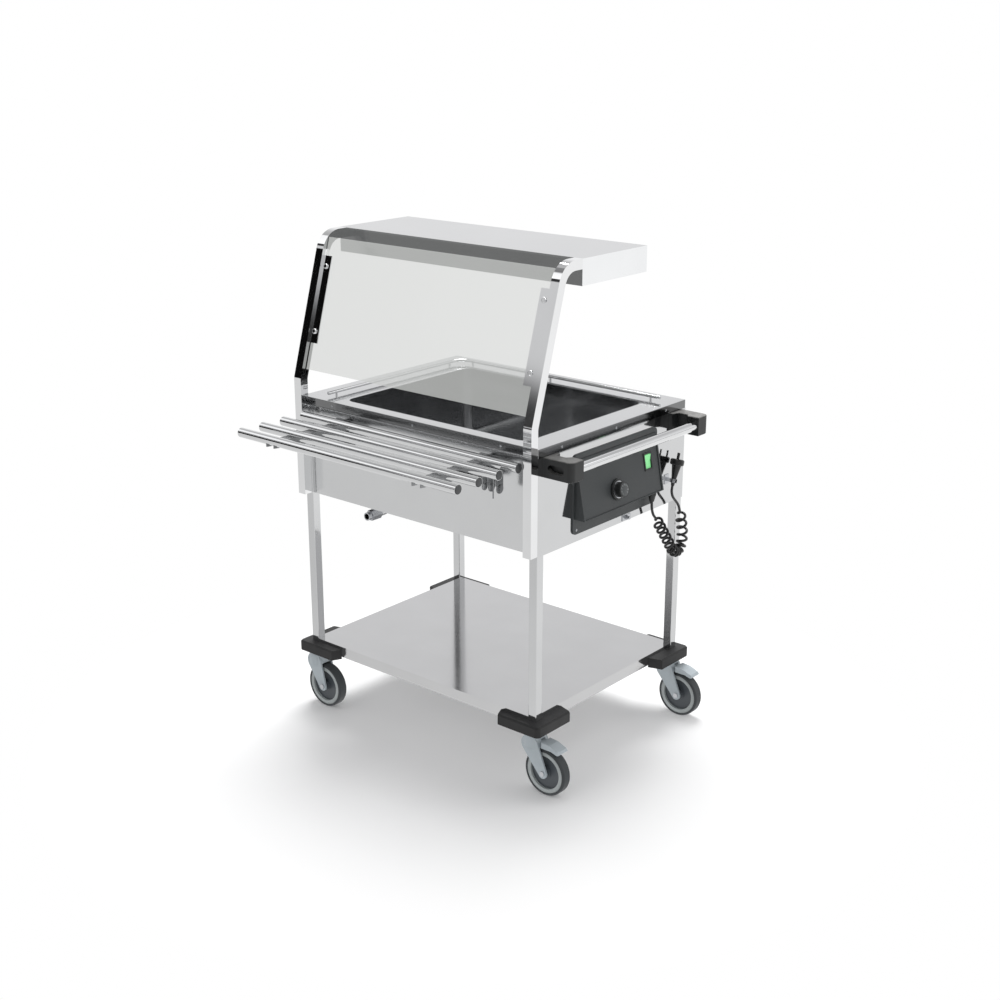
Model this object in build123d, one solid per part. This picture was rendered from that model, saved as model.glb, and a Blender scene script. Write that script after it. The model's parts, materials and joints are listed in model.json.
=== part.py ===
"""Heated food trolley with a wet well, a glass sneeze guard, a fold-down tray slide and castors.

Millimetres. X runs along the counter (+X is the push-handle end), Y from the customer side (-Y)
to the back (+Y), Z up from the floor. Pieces are drawn about the middle of the counter top, and
`place` then moves them so that the origin is under the middle of the whole trolley.
"""
from build123d import *
from math import atan2, cos, degrees, pi, radians, sin, tan
import os

# ---- counter body -----------------------------------------------------------------------------
TOP_LENGTH = 810.0          # counter top, X
TOP_WIDTH = 622.0           # counter top, Y
TOP_HEIGHT = 900.0          # working height
SKIRT_HEIGHT = 22.0         # folded edge of the counter top
BODY_BOTTOM = 630.0         # underside of the heated body
SHEET = 1.5                 # stainless sheet of the body
FRONT_RECESS = 8.0          # front and back panels stand this far behind the corner faces
TUBE = 25.0                 # square tube of legs and hood posts
TUBE_WALL = 1.5
CLEAR = 0.2                 # gap between pieces that only sit beside each other

# ---- bottom shelf and bumpers -----------------------------------------------------------------
SHELF_TOP = 200.0
SHELF_HEIGHT = 30.0
SHELF_INSET_X = 13.0        # shelf edge inside the counter's end
SHELF_INSET_Y = 3.0
SHELF_RETURN = 14.0         # inward fold under the shelf edge
BUMPER_REACH_X = 26.0       # bumper stands this far outside the counter's end
BUMPER_REACH_Y = 25.0
BUMPER_ARM = 130.0
BUMPER_BOTTOM = 164.0
BUMPER_TOP = 192.0
BUMPER_RADIUS = 12.0

# ---- wet well ---------------------------------------------------------------------------------
WELL_LENGTH = 616.0
WELL_WIDTH = 488.0
WELL_DEPTH = 200.0
WELL_X = 31.0               # well centre on the counter
WELL_Y = -32.0
WELL_RADIUS = 28.0
WELL_WALL = 1.2
HEATER_PITCH = 90.0
HEATER_ROD = 8.0

# ---- gallery rail on the counter top ----------------------------------------------------------
RAIL_ROD = 9.0
RAIL_LIFT = 11.0            # rod centre above the counter top
RAIL_X = -333.0
RAIL_Y = 247.0
RAIL_FRONT = -282.0
RAIL_RIGHT = 367.0
RAIL_CORNER = 40.0

# ---- sneeze guard -----------------------------------------------------------------------------
LEAN = 16.5                 # posts lean back this much, degrees
BEND_HEIGHT = TOP_HEIGHT + 53.0         # where the posts start to lean
HOOD_TOP = TOP_HEIGHT + 430.0
HOOD_RADIUS = 65.0          # outer radius at the top of the posts
BEND_RADIUS = 40.0          # outer radius of the lower bend
POST_FOOT = BODY_BOTTOM + 2.0
HOOD_FRONT = -150.0
HOOD_BACK = 112.0
HOOD_DROP = 65.0            # height of the overshelf's edge
HOOD_SHEET = 1.2
HOOD_RETURN = 15.0
GLASS_THICKNESS = 5.0
GLASS_LENGTH = TOP_LENGTH - 60.0
GLASS_LOW = 28.0            # glass edges, measured up the lean from the bend
GLASS_HIGH = 379.0
GLASS_SETBACK = 10.0        # front of the glass behind the front of the posts
FLANGE_LOW = 99.0
FLANGE_HIGH = 330.0
FLANGE_WIDTH = 30.0
FLANGE_SHEET = 3.0
SCREW_HEIGHTS = (130.0, 302.0)
SCREW_HEAD = 14.0

# ---- tray slide -------------------------------------------------------------------------------
TRAY_TUBE = 25.0
TRAY_LENGTH = 740.0
TRAY_PITCH = 71.5
TRAY_COUNT = 4
TRAY_HEIGHT = TOP_HEIGHT - 45.0
TRAY_FIRST = 29.0           # first tube centre in front of the counter edge
TRAY_ARM_X = 250.0          # arm centres from the middle
ARM_WIDTH = 30.0
ARM_SHEET = 3.0
ARM_DEPTH = 34.0
PIVOT_PIN = 10.0
PIVOT_DROP = 42.0           # pivot below the tube centres
PIVOT_OUT = 12.0            # pivot in front of the counter edge
RUN_GAP = 0.05              # radial clearance of a running fit
QUADRANT = 20.0             # radius of the arm's locking slot
LOCK_PIN = 6.0
LOCK_NECK = 4.0             # thin stretch of the locking pin
LOCK_PULL = 8.0             # travel of the locking pin

# ---- push handle ------------------------------------------------------------------------------
HANDLE_TUBE = 25.0
HANDLE_HEIGHT = TOP_HEIGHT - 47.0
HANDLE_OUT = 70.0           # tube centre outside the counter's end
HANDLE_GRIP = 490.0         # bare tube between the brackets
BRACKET_LENGTH = 47.0
BRACKET_HEIGHT = 50.0
BRACKET_WALL = 6.0

# ---- control box ------------------------------------------------------------------------------
PLATE_LENGTH = 354.0
PLATE_LOW = 650.0
PLATE_HIGH = 856.0
PLATE_SHEET = 4.0
PLATE_RADIUS = 14.0
BOX_LENGTH = 340.0
BOX_LOW = 691.0
BOX_HIGH = 842.0
BOX_DEEP = 35.0             # depth of the box at its lower edge
BOX_WALL = 2.5
BOX_CHEEK = 5.0
FASCIA_SINK = 2.5           # fascia behind the edges of the cheeks
KNOB_Y = -22.0
KNOB_Z = 737.0
KNOB_SKIRT = 54.0
KNOB_GRIP = 38.0
KNOB_HEIGHT = 24.0
SWITCH_Y = 120.0
SWITCH_Z = 777.0
SWITCH_WIDTH = 26.0
SWITCH_HEIGHT = 38.0
ROCKER_GAP = 0.35

# ---- mains lead -------------------------------------------------------------------------------
GLAND_X = 424.0
GLAND_Y = 140.0
GLAND_NUT = 25.0            # across the corners
CORD = 7.0
COIL = 32.0                 # outside of the curly stretch
LOWER_LEAD = [(424, 140, 664), (424, 140, 650), (425, 143, 636.5), (428, 149, 623.5), (428, 157, 612)]
COIL_ROUTE = [(428, 157, 612), (428, 169, 594.75), (428, 185, 575), (428, 201, 553), (428, 218, 531.5),
              (428, 231, 510), (428, 246, 496), (428, 262, 492), (428, 276, 500), (428, 284, 517),
              (428, 284.5, 543), (428, 277, 575), (428, 268, 604)]
UPPER_LEAD = [(428, 268, 604), (428, 263.5, 618.5), (428, 254.5, 631), (428, 243.5, 641.5), (428, 233.5, 651.5),
              (428, 227, 662.5), (428, 224.5, 674.5), (428, 228, 686)]
PLUG_RELIEF = 22.0          # tapered strain relief of the plug
PLUG_BODY = 33.0            # tapered grip
PLUG_GRIP = 25.0            # its wide end
PLUG_HEAD = 37.0            # round head that carries the pins
PLUG_HEAD_THICK = 16.0
PIN_PITCH = 19.0
PIN_LENGTH = 17.0
PIN_TURN = 40.0             # pins lie on a diagonal

# ---- drain ------------------------------------------------------------------------------------
DRAIN_X = -188.0
DRAIN_Y = -215.0
DRAIN_PIPE = 22.0
DRAIN_BORE = 16.0
VALVE_Z = 600.0
VALVE_BODY = 30.0
VALVE_LENGTH = 46.0
LEVER_LENGTH = 62.0

# ---- castors ----------------------------------------------------------------------------------
WHEEL = 125.0
WHEEL_WIDTH = 28.0
TYRE_THICK = 6.5
BRAKED_TRAIL = 42.0
PLAIN_TRAIL = 30.0
AXLE = 8.0
KING_BOLT = 12.0
FORK_WALL = 5.0
FORK_GAP = 3.0              # between tyre and fork cheek
HEAD = 56.0
LEG_FOOT = 164.0
DISC = 42.0                 # bearing disc on top of the fork

# ---- derived places ---------------------------------------------------------------------------
HALF_L = TOP_LENGTH / 2
HALF_W = TOP_WIDTH / 2
LEG_X = HALF_L - SHEET - TUBE / 2
LEG_Y = HALF_W - SHEET - TUBE / 2
LEAN_DIR = Vector(0, sin(radians(LEAN)), cos(radians(LEAN)))
LEAN_BACK = Vector(0, cos(radians(LEAN)), -sin(radians(LEAN)))
POST_FRONT = -HALF_W - TUBE
GLASS_FOOT = Vector(0, POST_FRONT, BEND_HEIGHT)
TRAY_REACH = TRAY_FIRST + (TRAY_COUNT - 1) * TRAY_PITCH
PIVOT_Y = -HALF_W - PIVOT_OUT
PIVOT_Z = TRAY_HEIGHT - PIVOT_DROP
BOX_TILT = degrees(atan2(BOX_DEEP, BOX_HIGH - BOX_LOW))
CORNERS = {"front_left": (-1, -1), "front_right": (1, -1), "back_left": (-1, 1), "back_right": (1, 1)}

# ---- the whole trolley's middle, which becomes the origin -------------------------------------
REACH_RIGHT = max(HALF_L + HANDLE_OUT + HANDLE_TUBE / 2 + BRACKET_WALL / 2, LEG_X + BRAKED_TRAIL + WHEEL / 2)
REACH_LEFT = -HALF_L - BUMPER_REACH_X
REACH_FRONT = -HALF_W - TRAY_REACH - TRAY_TUBE / 2
REACH_BACK = HALF_W + BUMPER_REACH_Y
CENTRE = Vector((REACH_LEFT + REACH_RIGHT) / 2, (REACH_FRONT + REACH_BACK) / 2, 0)


# ---- small helpers ----------------------------------------------------------------------------
def block(x, y, z):
    """A box given by its low and high X, Y and Z."""
    middle = ((x[0] + x[1]) / 2, (y[0] + y[1]) / 2, (z[0] + z[1]) / 2)
    return Pos(*middle) * Box(abs(x[1] - x[0]), abs(y[1] - y[0]), abs(z[1] - z[0]))


def rod(start, axis, diameter, length):
    """A round bar from a point along "X", "Y" or "Z"."""
    turn = {"X": Rot(0, 90, 0), "Y": Rot(-90, 0, 0), "Z": Rot(0, 0, 0)}[axis]
    aligned = Cylinder(diameter / 2, length, align=(Align.CENTER, Align.CENTER, Align.MIN))
    return Pos(*start) * turn * aligned


def rounded_block(centre, length, width, radius, low, high):
    """An upright block with rounded vertical edges."""
    outline = RectangleRounded(length, width, radius)
    return Pos(centre[0], centre[1], low) * extrude(outline, high - low)


def face_in_yz(points, x):
    """A flat outline in the plane X = x."""
    return make_face(Polyline(*[(x, y, z) for y, z in points], close=True))


def group(*pieces):
    """Separate solids that share one node."""
    return Compound(children=[solid for piece in pieces for solid in piece.solids()])


def mirrored_pair(piece, plane):
    return group(piece, mirror(piece, about=plane))


# ---- frame, shelf and bumpers -----------------------------------------------------------------
def legs():
    top = TOP_HEIGHT - SHEET
    tubes = []
    for side, end in CORNERS.values():
        middle = (side * LEG_X, end * LEG_Y)
        outer = rounded_block(middle, TUBE, TUBE, 2.0, LEG_FOOT, top)
        bore = rounded_block(middle, TUBE - 2 * TUBE_WALL, TUBE - 2 * TUBE_WALL, 0.6, LEG_FOOT, top)
        tubes.append(outer - bore)
    return group(*tubes)


def leg_notches(gap):
    """Blocks around the four legs, for cutting what stands against them."""
    side = TUBE / 2 + gap
    places = [(sx * LEG_X, sy * LEG_Y) for sx, sy in CORNERS.values()]
    return [block((x - side, x + side), (y - side, y + side), (0, TOP_HEIGHT)) for x, y in places]


def bottom_shelf():
    length = TOP_LENGTH - 2 * SHELF_INSET_X
    width = TOP_WIDTH - 2 * SHELF_INSET_Y
    low = SHELF_TOP - SHELF_HEIGHT
    shell = rounded_block((0, 0), length, width, 1.0, low, SHELF_TOP)
    inner = (length - 2 * SHEET, width - 2 * SHEET)
    shell -= rounded_block((0, 0), *inner, 0.5, low + SHEET, SHELF_TOP - SHEET)
    mouth = (inner[0] - 2 * SHELF_RETURN, inner[1] - 2 * SHELF_RETURN)
    shell -= rounded_block((0, 0), *mouth, 0.5, low, low + SHEET)
    return max((shell - leg_notches(CLEAR)).solids(), key=lambda solid: solid.volume)


def corner_bumper():
    """The back-right one; the others are its mirror images."""
    shelf_x = HALF_L - SHELF_INSET_X + CLEAR
    shelf_y = HALF_W - SHELF_INSET_Y + CLEAR
    out_x = HALF_L + BUMPER_REACH_X
    out_y = HALF_W + BUMPER_REACH_Y
    taper = 12.0
    points = [(out_x - BUMPER_ARM - taper, shelf_y), (out_x - BUMPER_ARM, out_y), (out_x, out_y),
              (out_x, out_y - BUMPER_ARM), (shelf_x, out_y - BUMPER_ARM - taper), (shelf_x, shelf_y)]
    outline = make_face(Polyline(*points, close=True))
    body = Pos(0, 0, BUMPER_BOTTOM) * extrude(outline, BUMPER_TOP - BUMPER_BOTTOM)
    corner = body.edges().filter_by(Axis.Z).sort_by_distance((out_x, out_y, BUMPER_TOP))[0]
    body = fillet(corner, BUMPER_RADIUS)
    rim = [edge for edge in body.faces().sort_by(Axis.Z)[-1].edges()
           if edge.center().X > shelf_x + 20 or edge.center().Y > shelf_y + 20]
    body = chamfer(rim, 4.0)
    disc_room = rod((LEG_X, LEG_Y, 0), "Z", DISC + 1, LEG_FOOT + 1)
    return body - leg_notches(CLEAR) - disc_room


def corner_bumpers():
    one = corner_bumper()
    right = group(one, mirror(one, about=Plane.XZ))
    return group(right, mirror(right, about=Plane.YZ))


# ---- body panels ------------------------------------------------------------------------------
def end_panel(side):
    """A folded end panel: skin and two short returns around the legs."""
    top = TOP_HEIGHT - SKIRT_HEIGHT - CLEAR
    height = (BODY_BOTTOM, top)
    skin = block((HALF_L - SHEET, HALF_L), (-HALF_W, HALF_W), height)
    for end in (-1, 1):
        face = sorted((end * HALF_W, end * (HALF_W - SHEET)))
        skin += block((HALF_L - SHEET - TUBE, HALF_L - SHEET), face, height)
    return skin if side > 0 else mirror(skin, about=Plane.YZ)


def long_panel(end):
    """The recessed front (end -1) or back (end 1) panel, between the legs."""
    face = HALF_W - FRONT_RECESS
    reach = LEG_X - TUBE / 2
    return block((-reach, reach), sorted((end * face, end * (face - SHEET))),
                 (BODY_BOTTOM, TOP_HEIGHT - SHEET))


def bottom_cover():
    """Closes the body from below, with a hole for the drain."""
    reach_x = HALF_L - SHEET
    reach_y = HALF_W - FRONT_RECESS - SHEET
    cover = block((-reach_x, reach_x), (-reach_y, reach_y), (BODY_BOTTOM, BODY_BOTTOM + SHEET))
    cover -= rod((DRAIN_X, DRAIN_Y, BODY_BOTTOM - 1), "Z", DRAIN_PIPE + 2, SHEET + 2)
    return cover - leg_notches(CLEAR)


def top_plate():
    shell = rounded_block((0, 0), TOP_LENGTH, TOP_WIDTH, 3.0, TOP_HEIGHT - SKIRT_HEIGHT, TOP_HEIGHT)
    shell = fillet(shell.faces().sort_by(Axis.Z)[-1].edges(), 1.2)
    inside = (TOP_LENGTH - 2 * SHEET, TOP_WIDTH - 2 * SHEET)
    shell -= rounded_block((0, 0), *inside, 1.5, 0, TOP_HEIGHT - SHEET)
    opening = rounded_block((WELL_X, WELL_Y), WELL_LENGTH, WELL_WIDTH, WELL_RADIUS, 0, TOP_HEIGHT + 1)
    return shell - opening


# ---- well and its heating ---------------------------------------------------------------------
def well_basin():
    centre = (WELL_X, WELL_Y)
    floor = TOP_HEIGHT - WELL_DEPTH
    tub = rounded_block(centre, WELL_LENGTH, WELL_WIDTH, WELL_RADIUS, floor, TOP_HEIGHT)
    tub = fillet(tub.faces().sort_by(Axis.Z)[0].edges(), WELL_RADIUS / 2)
    cavity = rounded_block(centre, WELL_LENGTH - 2 * WELL_WALL, WELL_WIDTH - 2 * WELL_WALL,
                           WELL_RADIUS - WELL_WALL, floor + WELL_WALL, TOP_HEIGHT + 1)
    cavity = fillet(cavity.faces().sort_by(Axis.Z)[0].edges(), WELL_RADIUS / 2 - WELL_WALL)
    return tub - cavity - rod((DRAIN_X, DRAIN_Y, floor - 1), "Z", DRAIN_PIPE, WELL_WALL + 2)


def well_heater():
    """Three hairpin rods clamped under the well, joined by a terminal bar."""
    z = TOP_HEIGHT - WELL_DEPTH - HEATER_ROD / 2 - CLEAR
    reach = WELL_LENGTH / 2 - 60
    pieces = []
    for row in (-1, 0, 1):
        y = WELL_Y + 40 + row * HEATER_PITCH * 1.3
        for side in (-1, 1):
            start = (WELL_X - reach + 40, y + side * HEATER_PITCH / 4, z)
            pieces.append(rod(start, "X", HEATER_ROD, 2 * reach - 32))
    bar_x = WELL_X + reach
    bar = block((bar_x, bar_x + 16), (WELL_Y - 130, WELL_Y + 210), (z - 9, z + HEATER_ROD / 2 + CLEAR / 2))
    heater = bar
    for piece in pieces:
        heater += piece
    return heater


def gallery_rail():
    z = TOP_HEIGHT + RAIL_LIFT
    path = FilletPolyline((RAIL_X, RAIL_FRONT, z), (RAIL_X, RAIL_Y, z), (RAIL_RIGHT, RAIL_Y, z),
                          radius=RAIL_CORNER)
    rail = sweep(Plane(path @ 0, z_dir=path % 0) * Circle(RAIL_ROD / 2), path)
    feet = [(RAIL_X, RAIL_FRONT + 30), (RAIL_X, RAIL_Y - RAIL_CORNER - 8),
            (RAIL_X + RAIL_CORNER + 8, RAIL_Y), (RAIL_RIGHT - 30, RAIL_Y), (0, RAIL_Y)]
    for x, y in feet:
        rail += rod((x, y, TOP_HEIGHT), "Z", 6.0, RAIL_LIFT)
    return rail


# ---- sneeze guard -----------------------------------------------------------------------------
def post_path(offset):
    """Middle line of a post, `offset` behind its front face: straight, leaning, then level."""
    start = GLASS_FOOT + Vector(0, offset, POST_FOOT - BEND_HEIGHT)
    lower = Vector(0, POST_FRONT + offset, BEND_HEIGHT - offset * tan(radians(LEAN / 2)))
    rise = HOOD_TOP - offset - lower.Z
    upper = lower + LEAN_DIR * (rise / LEAN_DIR.Z)
    level = Vector(0, HOOD_FRONT, HOOD_TOP - offset)
    radii = [BEND_RADIUS - offset, HOOD_RADIUS - offset]
    return FilletPolyline(start, lower, upper, level, radius=radii)


def hood_post():
    path = post_path(TUBE / 2)
    frame = Plane(path @ 0, z_dir=path % 0)
    solid = sweep(frame * Rectangle(TUBE, TUBE), path)
    hollow = sweep(frame * Rectangle(TUBE - 2 * TUBE_WALL, TUBE - 2 * TUBE_WALL), path)
    return Pos(HALF_L - TUBE / 2, 0, 0) * (solid - hollow)


def hood_shelf():
    """Overshelf: top sheet, four edges and a small return all round, open below."""
    y = (HOOD_FRONT, HOOD_BACK)
    shell = block((-HALF_L, HALF_L), y, (HOOD_TOP - HOOD_DROP, HOOD_TOP))
    t = HOOD_SHEET
    shell -= block((-HALF_L + t, HALF_L - t), (y[0] + t, y[1] - t),
                   (HOOD_TOP - HOOD_DROP + t, HOOD_TOP - t))
    fold = t + HOOD_RETURN
    shell -= block((-HALF_L + fold, HALF_L - fold), (y[0] + fold, y[1] - fold),
                   (HOOD_TOP - HOOD_DROP - 1, HOOD_TOP - HOOD_DROP + t + 1))
    return shell


def leaning_block(x, up, back):
    """A block set on the leaning plane: X range, distance up the lean, depth behind the posts' front."""
    plane = Plane(GLASS_FOOT + LEAN_BACK * back[1], x_dir=(1, 0, 0), z_dir=LEAN_BACK * -1)
    centre = ((x[0] + x[1]) / 2, (up[0] + up[1]) / 2)
    outline = Pos(*centre) * Rectangle(x[1] - x[0], up[1] - up[0])
    return plane * extrude(outline, back[1] - back[0])


def glass_pane():
    half = GLASS_LENGTH / 2
    return leaning_block((-half, half), (GLASS_LOW, GLASS_HIGH),
                         (GLASS_SETBACK, GLASS_SETBACK + GLASS_THICKNESS)) - screw_set(0.5, False)


def glass_flanges():
    edge = HALF_L - TUBE
    front = GLASS_SETBACK - FLANGE_SHEET
    right = leaning_block((edge - FLANGE_WIDTH, edge), (FLANGE_LOW, FLANGE_HIGH), (front, GLASS_SETBACK))
    return mirrored_pair(right - screw_set(0.25, False), Plane.YZ)


def screw_set(growth, heads):
    """The four glass screws, or with growth the holes they pass through."""
    x = HALF_L - TUBE - FLANGE_WIDTH / 2
    head_face = GLASS_SETBACK - FLANGE_SHEET
    tail = GLASS_SETBACK + GLASS_THICKNESS
    screws = []
    for up in SCREW_HEIGHTS:
        base = GLASS_FOOT + LEAN_DIR * up + Vector(x, 0, 0)
        along = Plane(base, x_dir=(1, 0, 0), z_dir=LEAN_BACK)
        reach = tail + 6.0
        shank = along * Pos(0, 0, head_face) * Cylinder(3.0 + growth, reach - head_face,
                                                        align=(Align.CENTER, Align.CENTER, Align.MIN))
        if heads:
            cap = Cylinder(SCREW_HEAD / 2, 4.0, align=(Align.CENTER, Align.CENTER, Align.MAX))
            cap = fillet(cap.edges().sort_by(Axis.Z)[0], 2.5)
            nut = Cylinder(5.5, 4.0, align=(Align.CENTER, Align.CENTER, Align.MIN))
            shank = shank + along * Pos(0, 0, head_face) * cap + along * Pos(0, 0, tail) * nut
        screws.append(shank)
    return mirrored_pair(group(*screws), Plane.YZ)


# ---- tray slide -------------------------------------------------------------------------------
def tray_tube_centres():
    return [-HALF_W - TRAY_FIRST - index * TRAY_PITCH for index in range(TRAY_COUNT)]


def tray_tubes():
    tubes = []
    for y in tray_tube_centres():
        start = (-TRAY_LENGTH / 2, y, TRAY_HEIGHT)
        tubes.append(rod(start, "X", TRAY_TUBE, TRAY_LENGTH)
                     - rod(start, "X", TRAY_TUBE - 2 * TUBE_WALL, TRAY_LENGTH))
    return group(*tubes)


def tube_saddles(x):
    return [rod((x[0] - 1, y, TRAY_HEIGHT), "X", TRAY_TUBE, x[1] - x[0] + 2) for y in tray_tube_centres()]


def tray_arm(side):
    """A folded arm under the four tubes, with a heel that turns about the pivot."""
    x = side * TRAY_ARM_X
    front = -HALF_W - TRAY_REACH - TRAY_TUBE / 2 + 2
    heel = -HALF_W - 4
    low = TRAY_HEIGHT - ARM_DEPTH
    cheeks = None
    for offset in (-ARM_WIDTH / 2, ARM_WIDTH / 2 - ARM_SHEET):
        outline = arm_outline(front, heel, low)
        cheek = extrude(face_in_yz(outline, x + offset), ARM_SHEET, dir=(1, 0, 0))
        boss = rod((x + offset, PIVOT_Y, PIVOT_Z), "X", 2 * PIVOT_OUT - 6, ARM_SHEET)
        cheek = cheek + boss
        cheeks = cheek if cheeks is None else cheeks + cheek
    web_top = TRAY_HEIGHT - 2
    web = block((x - ARM_WIDTH / 2, x + ARM_WIDTH / 2), (front + 6, heel - 22), (web_top - ARM_SHEET, web_top))
    arm = cheeks + web - tube_saddles((x - ARM_WIDTH, x + ARM_WIDTH))
    arm -= rod((x - ARM_WIDTH, PIVOT_Y, PIVOT_Z), "X", PIVOT_PIN + 2 * RUN_GAP, 2 * ARM_WIDTH)
    return arm - quadrant_slot(x + side * ARM_WIDTH / 2)


def arm_outline(front, heel, low):
    """Side view of an arm: slim nose, two scallops between the tubes, deep heel at the pivot."""
    top = TRAY_HEIGHT - 2
    second = -HALF_W - TRAY_FIRST - TRAY_PITCH
    return [(front, top - 14), (front, top), (heel, top), (heel, PIVOT_Z), (PIVOT_Y + 9, PIVOT_Z - 9),
            (PIVOT_Y - 9, PIVOT_Z - 9), (PIVOT_Y - 34, PIVOT_Z - 16), (PIVOT_Y - 46, PIVOT_Z - 10),
            (PIVOT_Y - 52, low + 4), (second, low - 4), (second - 14, low + 6)]


def quadrant_slot(x):
    """Slot in the outer cheek that the pin runs along, with a round seat for it at each end."""
    width = LOCK_PIN + 0.6
    seat = Circle(LOCK_PIN / 2 + 0.3)
    quarter = Pos(-QUADRANT, QUADRANT) * Rectangle(2 * QUADRANT, 2 * QUADRANT)
    ring = (Circle(QUADRANT + width / 2) - Circle(QUADRANT - width / 2)) & quarter
    outline = ring + Pos(-QUADRANT, 0) * seat + Pos(0, QUADRANT) * seat
    plane = Plane((x - ARM_SHEET - 1, PIVOT_Y, PIVOT_Z), x_dir=(0, 1, 0), z_dir=(1, 0, 0))
    return plane * extrude(outline, 2 * ARM_SHEET + 2)


def tray_arms():
    return group(tray_arm(-1), tray_arm(1))


def tray_bracket(side):
    """Fixed bracket on the front panel: foot, lug between the arm's cheeks, and the pivot pin."""
    x = side * TRAY_ARM_X
    panel = -HALF_W + FRONT_RECESS
    foot_face = panel - 3.0
    half = ARM_WIDTH / 2 - ARM_SHEET - 0.5
    foot = block((x - 32, x + 32), (foot_face, panel), (PIVOT_Z - 32, PIVOT_Z + 44))
    tip = PIVOT_Y - QUADRANT - 6
    outline = [(foot_face, PIVOT_Z - 28), (foot_face, PIVOT_Z + 28), (PIVOT_Y, PIVOT_Z + 15),
               (tip, PIVOT_Z + 6), (tip, PIVOT_Z - 6), (PIVOT_Y, PIVOT_Z - 15)]
    lug = extrude(face_in_yz(outline, x - half), 2 * half, dir=(1, 0, 0))
    lug -= rod((x - half - 1, PIVOT_Y - QUADRANT, PIVOT_Z), "X", LOCK_PIN + 2 * RUN_GAP, 2 * half + 2)
    pin = rod((x - ARM_WIDTH / 2 - 2, PIVOT_Y, PIVOT_Z), "X", PIVOT_PIN, ARM_WIDTH + 4)
    return foot + lug + pin


def tray_brackets():
    return group(tray_bracket(-1), tray_bracket(1))


def tray_lock_pin(side):
    """Sprung pin through the outer cheek, pulled out by its knob."""
    y = PIVOT_Y - QUADRANT
    outer = TRAY_ARM_X + ARM_WIDTH / 2
    cheek = outer - ARM_SHEET
    inner = TRAY_ARM_X - ARM_WIDTH / 2 + ARM_SHEET + 1
    knob_start = outer + 1.5
    pin = rod((inner, y, PIVOT_Z), "X", LOCK_PIN, cheek - 9 - inner)
    pin += rod((cheek - 9, y, PIVOT_Z), "X", LOCK_NECK, 6.0)
    pin += rod((cheek - 3, y, PIVOT_Z), "X", LOCK_PIN, knob_start - cheek + 7)
    knob = rod((knob_start, y, PIVOT_Z), "X", 15.0, 14.0)
    knob = fillet(knob.edges().filter_by(GeomType.CIRCLE), 2.0)
    piece = pin + knob
    return piece if side > 0 else mirror(piece, about=Plane.YZ)


# ---- push handle ------------------------------------------------------------------------------
def handle_tube():
    reach = HANDLE_GRIP / 2 + BRACKET_LENGTH / 2
    start = (HALF_L + HANDLE_OUT, -reach, HANDLE_HEIGHT)
    tube = rod(start, "Y", HANDLE_TUBE, 2 * reach)
    return tube - rod(start, "Y", HANDLE_TUBE - 2 * TUBE_WALL, 2 * reach)


def handle_bracket():
    """Moulded elbow at the back end of the handle: foot on the panel, arm, and tube socket."""
    near = HANDLE_GRIP / 2
    far = near + BRACKET_LENGTH
    out = HALF_L + HANDLE_OUT + HANDLE_TUBE / 2 + BRACKET_WALL / 2
    inner = HALF_L + HANDLE_OUT - HANDLE_TUBE / 2 - BRACKET_WALL
    low = HANDLE_HEIGHT - BRACKET_HEIGHT / 2
    points = [(HALF_L, near - 8), (HALF_L + 8, near - 8), (HALF_L + 14, near + 12), (inner - 10, near + 12),
              (inner, near), (out, near), (out, far), (HALF_L, far)]
    body = Pos(0, 0, low) * extrude(make_face(Polyline(*points, close=True)), BRACKET_HEIGHT)
    corner = body.edges().filter_by(Axis.Z).sort_by_distance((out, far, HANDLE_HEIGHT))[0]
    body = fillet(corner, 15.0)
    body = chamfer(body.faces().filter_by(Axis.Z).edges(), 1.5)
    pocket = SlotOverall(48.0, 20.0)
    wall = Plane((HALF_L + 38, far, HANDLE_HEIGHT), x_dir=(1, 0, 0), z_dir=(0, 1, 0))
    body -= wall * extrude(pocket, -14.0)
    start = (HALF_L + HANDLE_OUT, near - 1, HANDLE_HEIGHT)
    return body - rod(start, "Y", HANDLE_TUBE + 2 * RUN_GAP, BRACKET_LENGTH / 2 + 1)


def handle_brackets():
    return mirrored_pair(handle_bracket(), Plane.XZ)


# ---- control box ------------------------------------------------------------------------------
def fascia_x(z):
    """X of the box's sloping front at a height."""
    top = HALF_L + PLATE_SHEET + 2
    return HALF_L + BOX_DEEP - (z - BOX_LOW) * (HALF_L + BOX_DEEP - top) / (BOX_HIGH - BOX_LOW)


def fascia_tilt():
    return atan2(fascia_x(BOX_LOW) - fascia_x(BOX_HIGH), BOX_HIGH - BOX_LOW)


def fascia_plane(y, z, sink=FASCIA_SINK):
    """A plane on the fascia at a width and height: its X runs along +Y, its Z points outwards."""
    normal = Vector(cos(fascia_tilt()), 0, sin(fascia_tilt()))
    return Plane(Vector(fascia_x(z) - sink, y, z), x_dir=(0, 1, 0), z_dir=normal)


def wedge(depth_cut, half_length, low, high):
    """The box's wedge shape with its front moved in by `depth_cut`."""
    back = HALF_L + PLATE_SHEET
    outline = [(back, low), (fascia_x(low) - depth_cut, low), (fascia_x(high) - depth_cut, high), (back, high)]
    face = make_face(Polyline(*[(x, -half_length, z) for x, z in outline], close=True))
    return extrude(face, 2 * half_length, dir=(0, 1, 0))


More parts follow.
